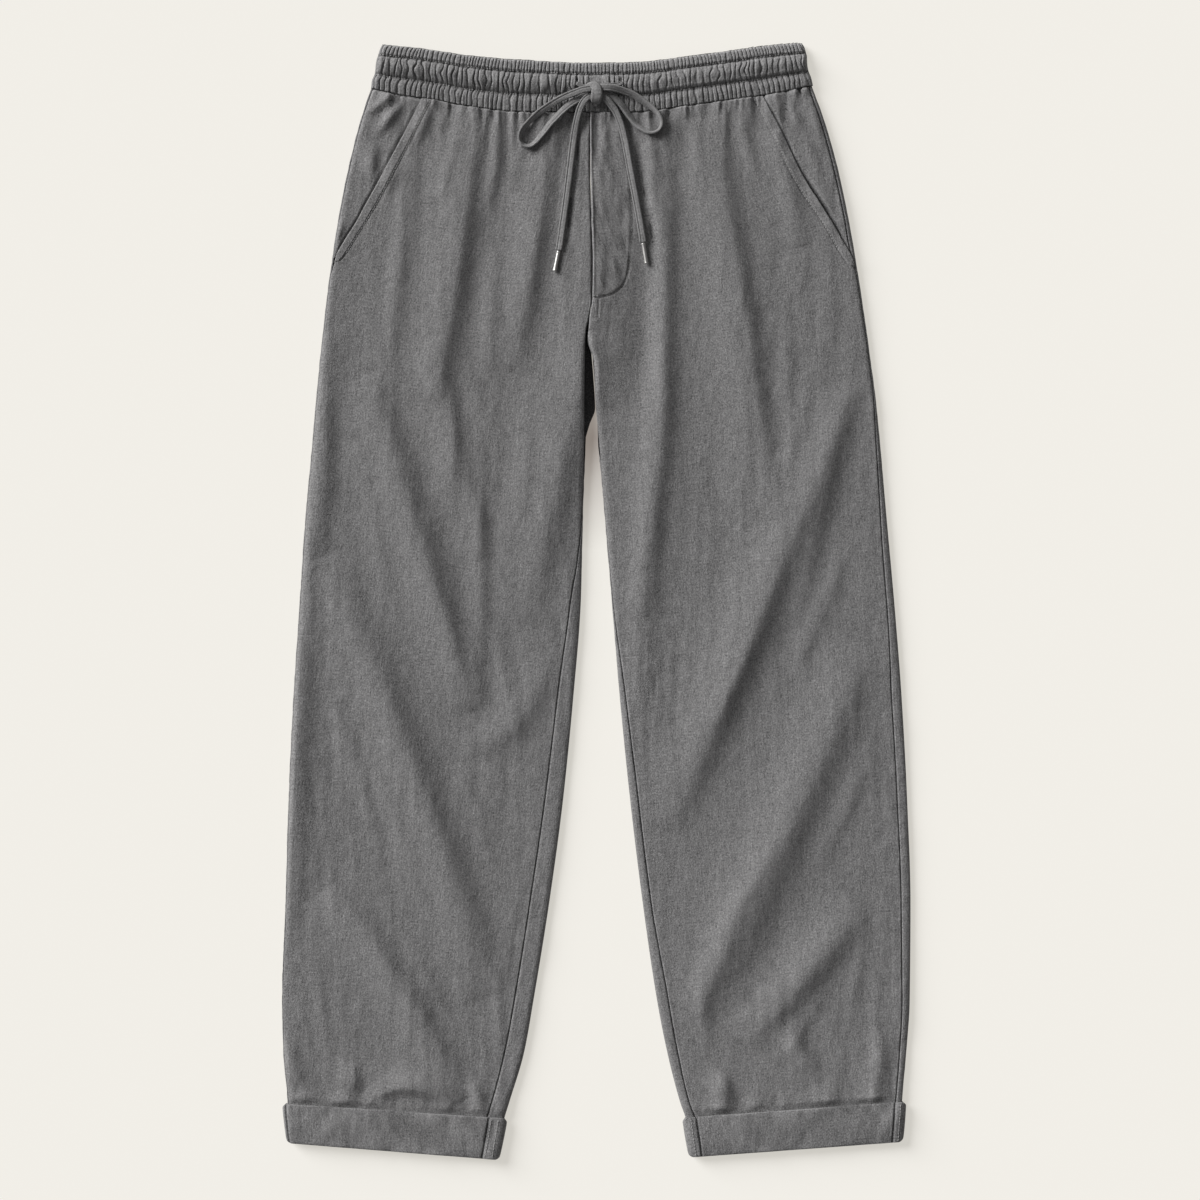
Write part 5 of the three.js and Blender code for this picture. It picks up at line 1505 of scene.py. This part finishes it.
def turn_up(name, rows, seams, seed, node):
    left, right = smooth_column(rows, "level", "left"), smooth_column(rows, "level", "right")

    def rounded_curve(level, x):
        """The edges of the turn-up curve in at its corners."""
        from_side = np.minimum(x - left(level), right(level) - x)
        corner = rounded_edge(np.maximum(from_side, 0), TURN_UP_CORNER)
        return turn_up_edge(rows, level, x) - (1 - 2 * level) * corner

    tube = FlatTube(
        length=rows["yLow"][0] - rows["yLow"][1],
        curve=rounded_curve,
        left=lambda level, y: left(level),
        right=lambda level, y: right(level),
        top=lambda x, y, level: leg_base(y),
        under=lambda level: TURN_UP_LIFT + 0 * level,
        middle=lambda level: TURN_UP_EDGE_HEIGHT + 0 * level,
    )
    profile_level, profile_offset = rounded_profile(TURN_UP_WALL, 2)
    level, offset = profile_level[None, :], profile_offset[None, :]
    _, _, half = tube.edges(level)
    over = column_steps(TURN_UP_COLUMNS, TURN_UP_COLUMNS, TURN_UP_WIDTH) / 2
    under = np.linspace(0.5, 1, 50)[1:-1]
    path = np.concatenate([over, under])[:, None] * 2 * half
    outer_side = smooth_step(0.5, 2, offset)
    moved = offset + outer_side * turn_up_relief(path, level, half, seams, seed)
    points = tube.moved(level, path, moved)
    points[..., 2] = np.maximum(points[..., 2], 0)
    count_around, count_profile = points.shape[:2]
    faces = [tuple(face) for face in grid_faces(count_around, count_profile, True, True)]
    flat = points.reshape(-1, 3)
    uv = np.stack(np.broadcast_arrays(-level * TURN_UP_DEPTH, path), axis=-1)[..., ::-1]
    relief = turn_up_relief(path, level, half, seams, seed)
    # Raised puffs on the turn-up's outer side are painted lighter (painted highlight) and its seam grooves
    # darker (painted shade)
    wear_and_shade = outer_side * np.clip(0.22 * relief - 0.6 * turn_up_grooves(path, half, seams), -1, 0.4)
    piece = make_mesh(name, flat, outwards_faces(flat, faces), CLOTH, uv, wear_and_shade)
    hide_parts(node)
    return piece, tube


turn_up_left, turn_up_left_tube = turn_up("turn_up_left_cloth", LEFT_TURN_UP, LEFT_TURN_UP_SEAMS, 61,
                                          "turn_up_left")
turn_up_right, turn_up_right_tube = turn_up("turn_up_right_cloth", RIGHT_TURN_UP, RIGHT_TURN_UP_SEAMS, 65,
                                            "turn_up_right")


# Stitches

STITCH_PITCH = 2.9
STITCH_LENGTH = 2.1
STITCH_RADIUS = 0.4
STITCH_SIDES = 6

# A stitch's rings: how far along its half length, and what share of its radius
STITCH_RINGS = [(-1, 0.25), (-0.7, 0.8), (0, 1), (0.7, 0.8), (1, 0.25)]


# The stitch rows over the turn-ups, in from their edges, and the two rows of the bar at the fly's end
LEFT_TURN_UP_ROWS = (5.6, 12.0)
RIGHT_TURN_UP_ROWS = (5.4, 3.8)
BAR_HEIGHTS = (283.6, 282.4)
BAR_LENGTH = 5.8


def stitch_row(tube, level, path, offset):
    """Small rounded stitches at even steps along a line on a piece's surface."""
    level, path = np.broadcast_arrays(np.asarray(level, float), np.asarray(path, float))
    line = tube.moved(level, path, offset)
    raised = tube.moved(level, path, offset + 1.0) - line
    lengths = lengths_along(line)
    at = np.arange(STITCH_PITCH / 2, lengths[-1], STITCH_PITCH)
    place, up = along_line(line, lengths, at), along_line(raised, lengths, at)
    along = along_line(line, lengths, at + 0.5) - along_line(line, lengths, at - 0.5)
    along /= np.linalg.norm(along, axis=1, keepdims=True)
    side = np.cross(up, along)
    side /= np.linalg.norm(side, axis=1, keepdims=True)
    angle = ring_angles(STITCH_SIDES)[:, None]
    faces = capped_faces(len(STITCH_RINGS), STITCH_SIDES)
    parts = []
    for i in range(len(at)):
        points = np.concatenate([
            place[i] + along[i] * (STITCH_LENGTH / 2 * f)
            + STITCH_RADIUS * r * (np.cos(angle) * side[i] + np.sin(angle) * up[i])
            for f, r in STITCH_RINGS])
        parts.append((points, outwards_faces(points, faces), points[:, :2]))
    return parts


def make_stitches(name, rows):
    points, faces, uv = join_parts([part for row in rows for part in row])
    return make_mesh(name, points, faces, THREAD, uv, 0 * uv[:, 0])


def pocket_stitches(tube, band, on_left):
    level = np.linspace(0.002, 0.162, 160)
    left, right, half = tube.edges(level)
    y = tube.curve(level, left if on_left else right)
    from_side = path_at(band(y)) + POCKET_BAND
    return stitch_row(tube, level, from_side if on_left else half - from_side, 0.1)


def fly_stitches(tube):
    y = np.concatenate([np.linspace(452, 292, 120), np.linspace(291, 282.6, 30)])
    level, path = tube.place(fly_edge(y), y)
    return stitch_row(tube, level, path, 0.05)


def band_stitches(row):
    level = np.full(700, row)
    _, _, half = band_tube.edges(level)
    return stitch_row(band_tube, level, np.linspace(4, half[0] - 4, 700), 0.15)


def turn_up_stitches(tube, seams, seed, from_right, reach):
    level = np.linspace(0.04, 0.96, 60)
    _, _, half = tube.edges(level)
    path = half - path_at(reach) if from_right else path_at(reach) + 0 * level
    return stitch_row(tube, level, path, 2.55 + turn_up_relief(path, level, half, seams, seed))


def bartack(tube, x, y):
    steps = np.linspace(-0.5, 0.5, 12) * BAR_LENGTH
    level, path = tube.place(x + steps, y + 0 * steps)
    return stitch_row(tube, level, path, 0.3)


make_stitches("topstitching", [
    pocket_stitches(left_tube, left_band, True),
    pocket_stitches(right_tube, right_band, False),
    fly_stitches(right_tube),
    band_stitches(RUFFLE_ENDS),
    band_stitches(CHANNEL_ENDS),
    *(turn_up_stitches(turn_up_left_tube, LEFT_TURN_UP_SEAMS, 61, True, reach)
      for reach in LEFT_TURN_UP_ROWS),
    turn_up_stitches(turn_up_right_tube, RIGHT_TURN_UP_SEAMS, 65, False, RIGHT_TURN_UP_ROWS[0]),
    turn_up_stitches(turn_up_right_tube, RIGHT_TURN_UP_SEAMS, 65, True, RIGHT_TURN_UP_ROWS[1]),
    *(bartack(right_tube, 0.0, y) for y in BAR_HEIGHTS),
])
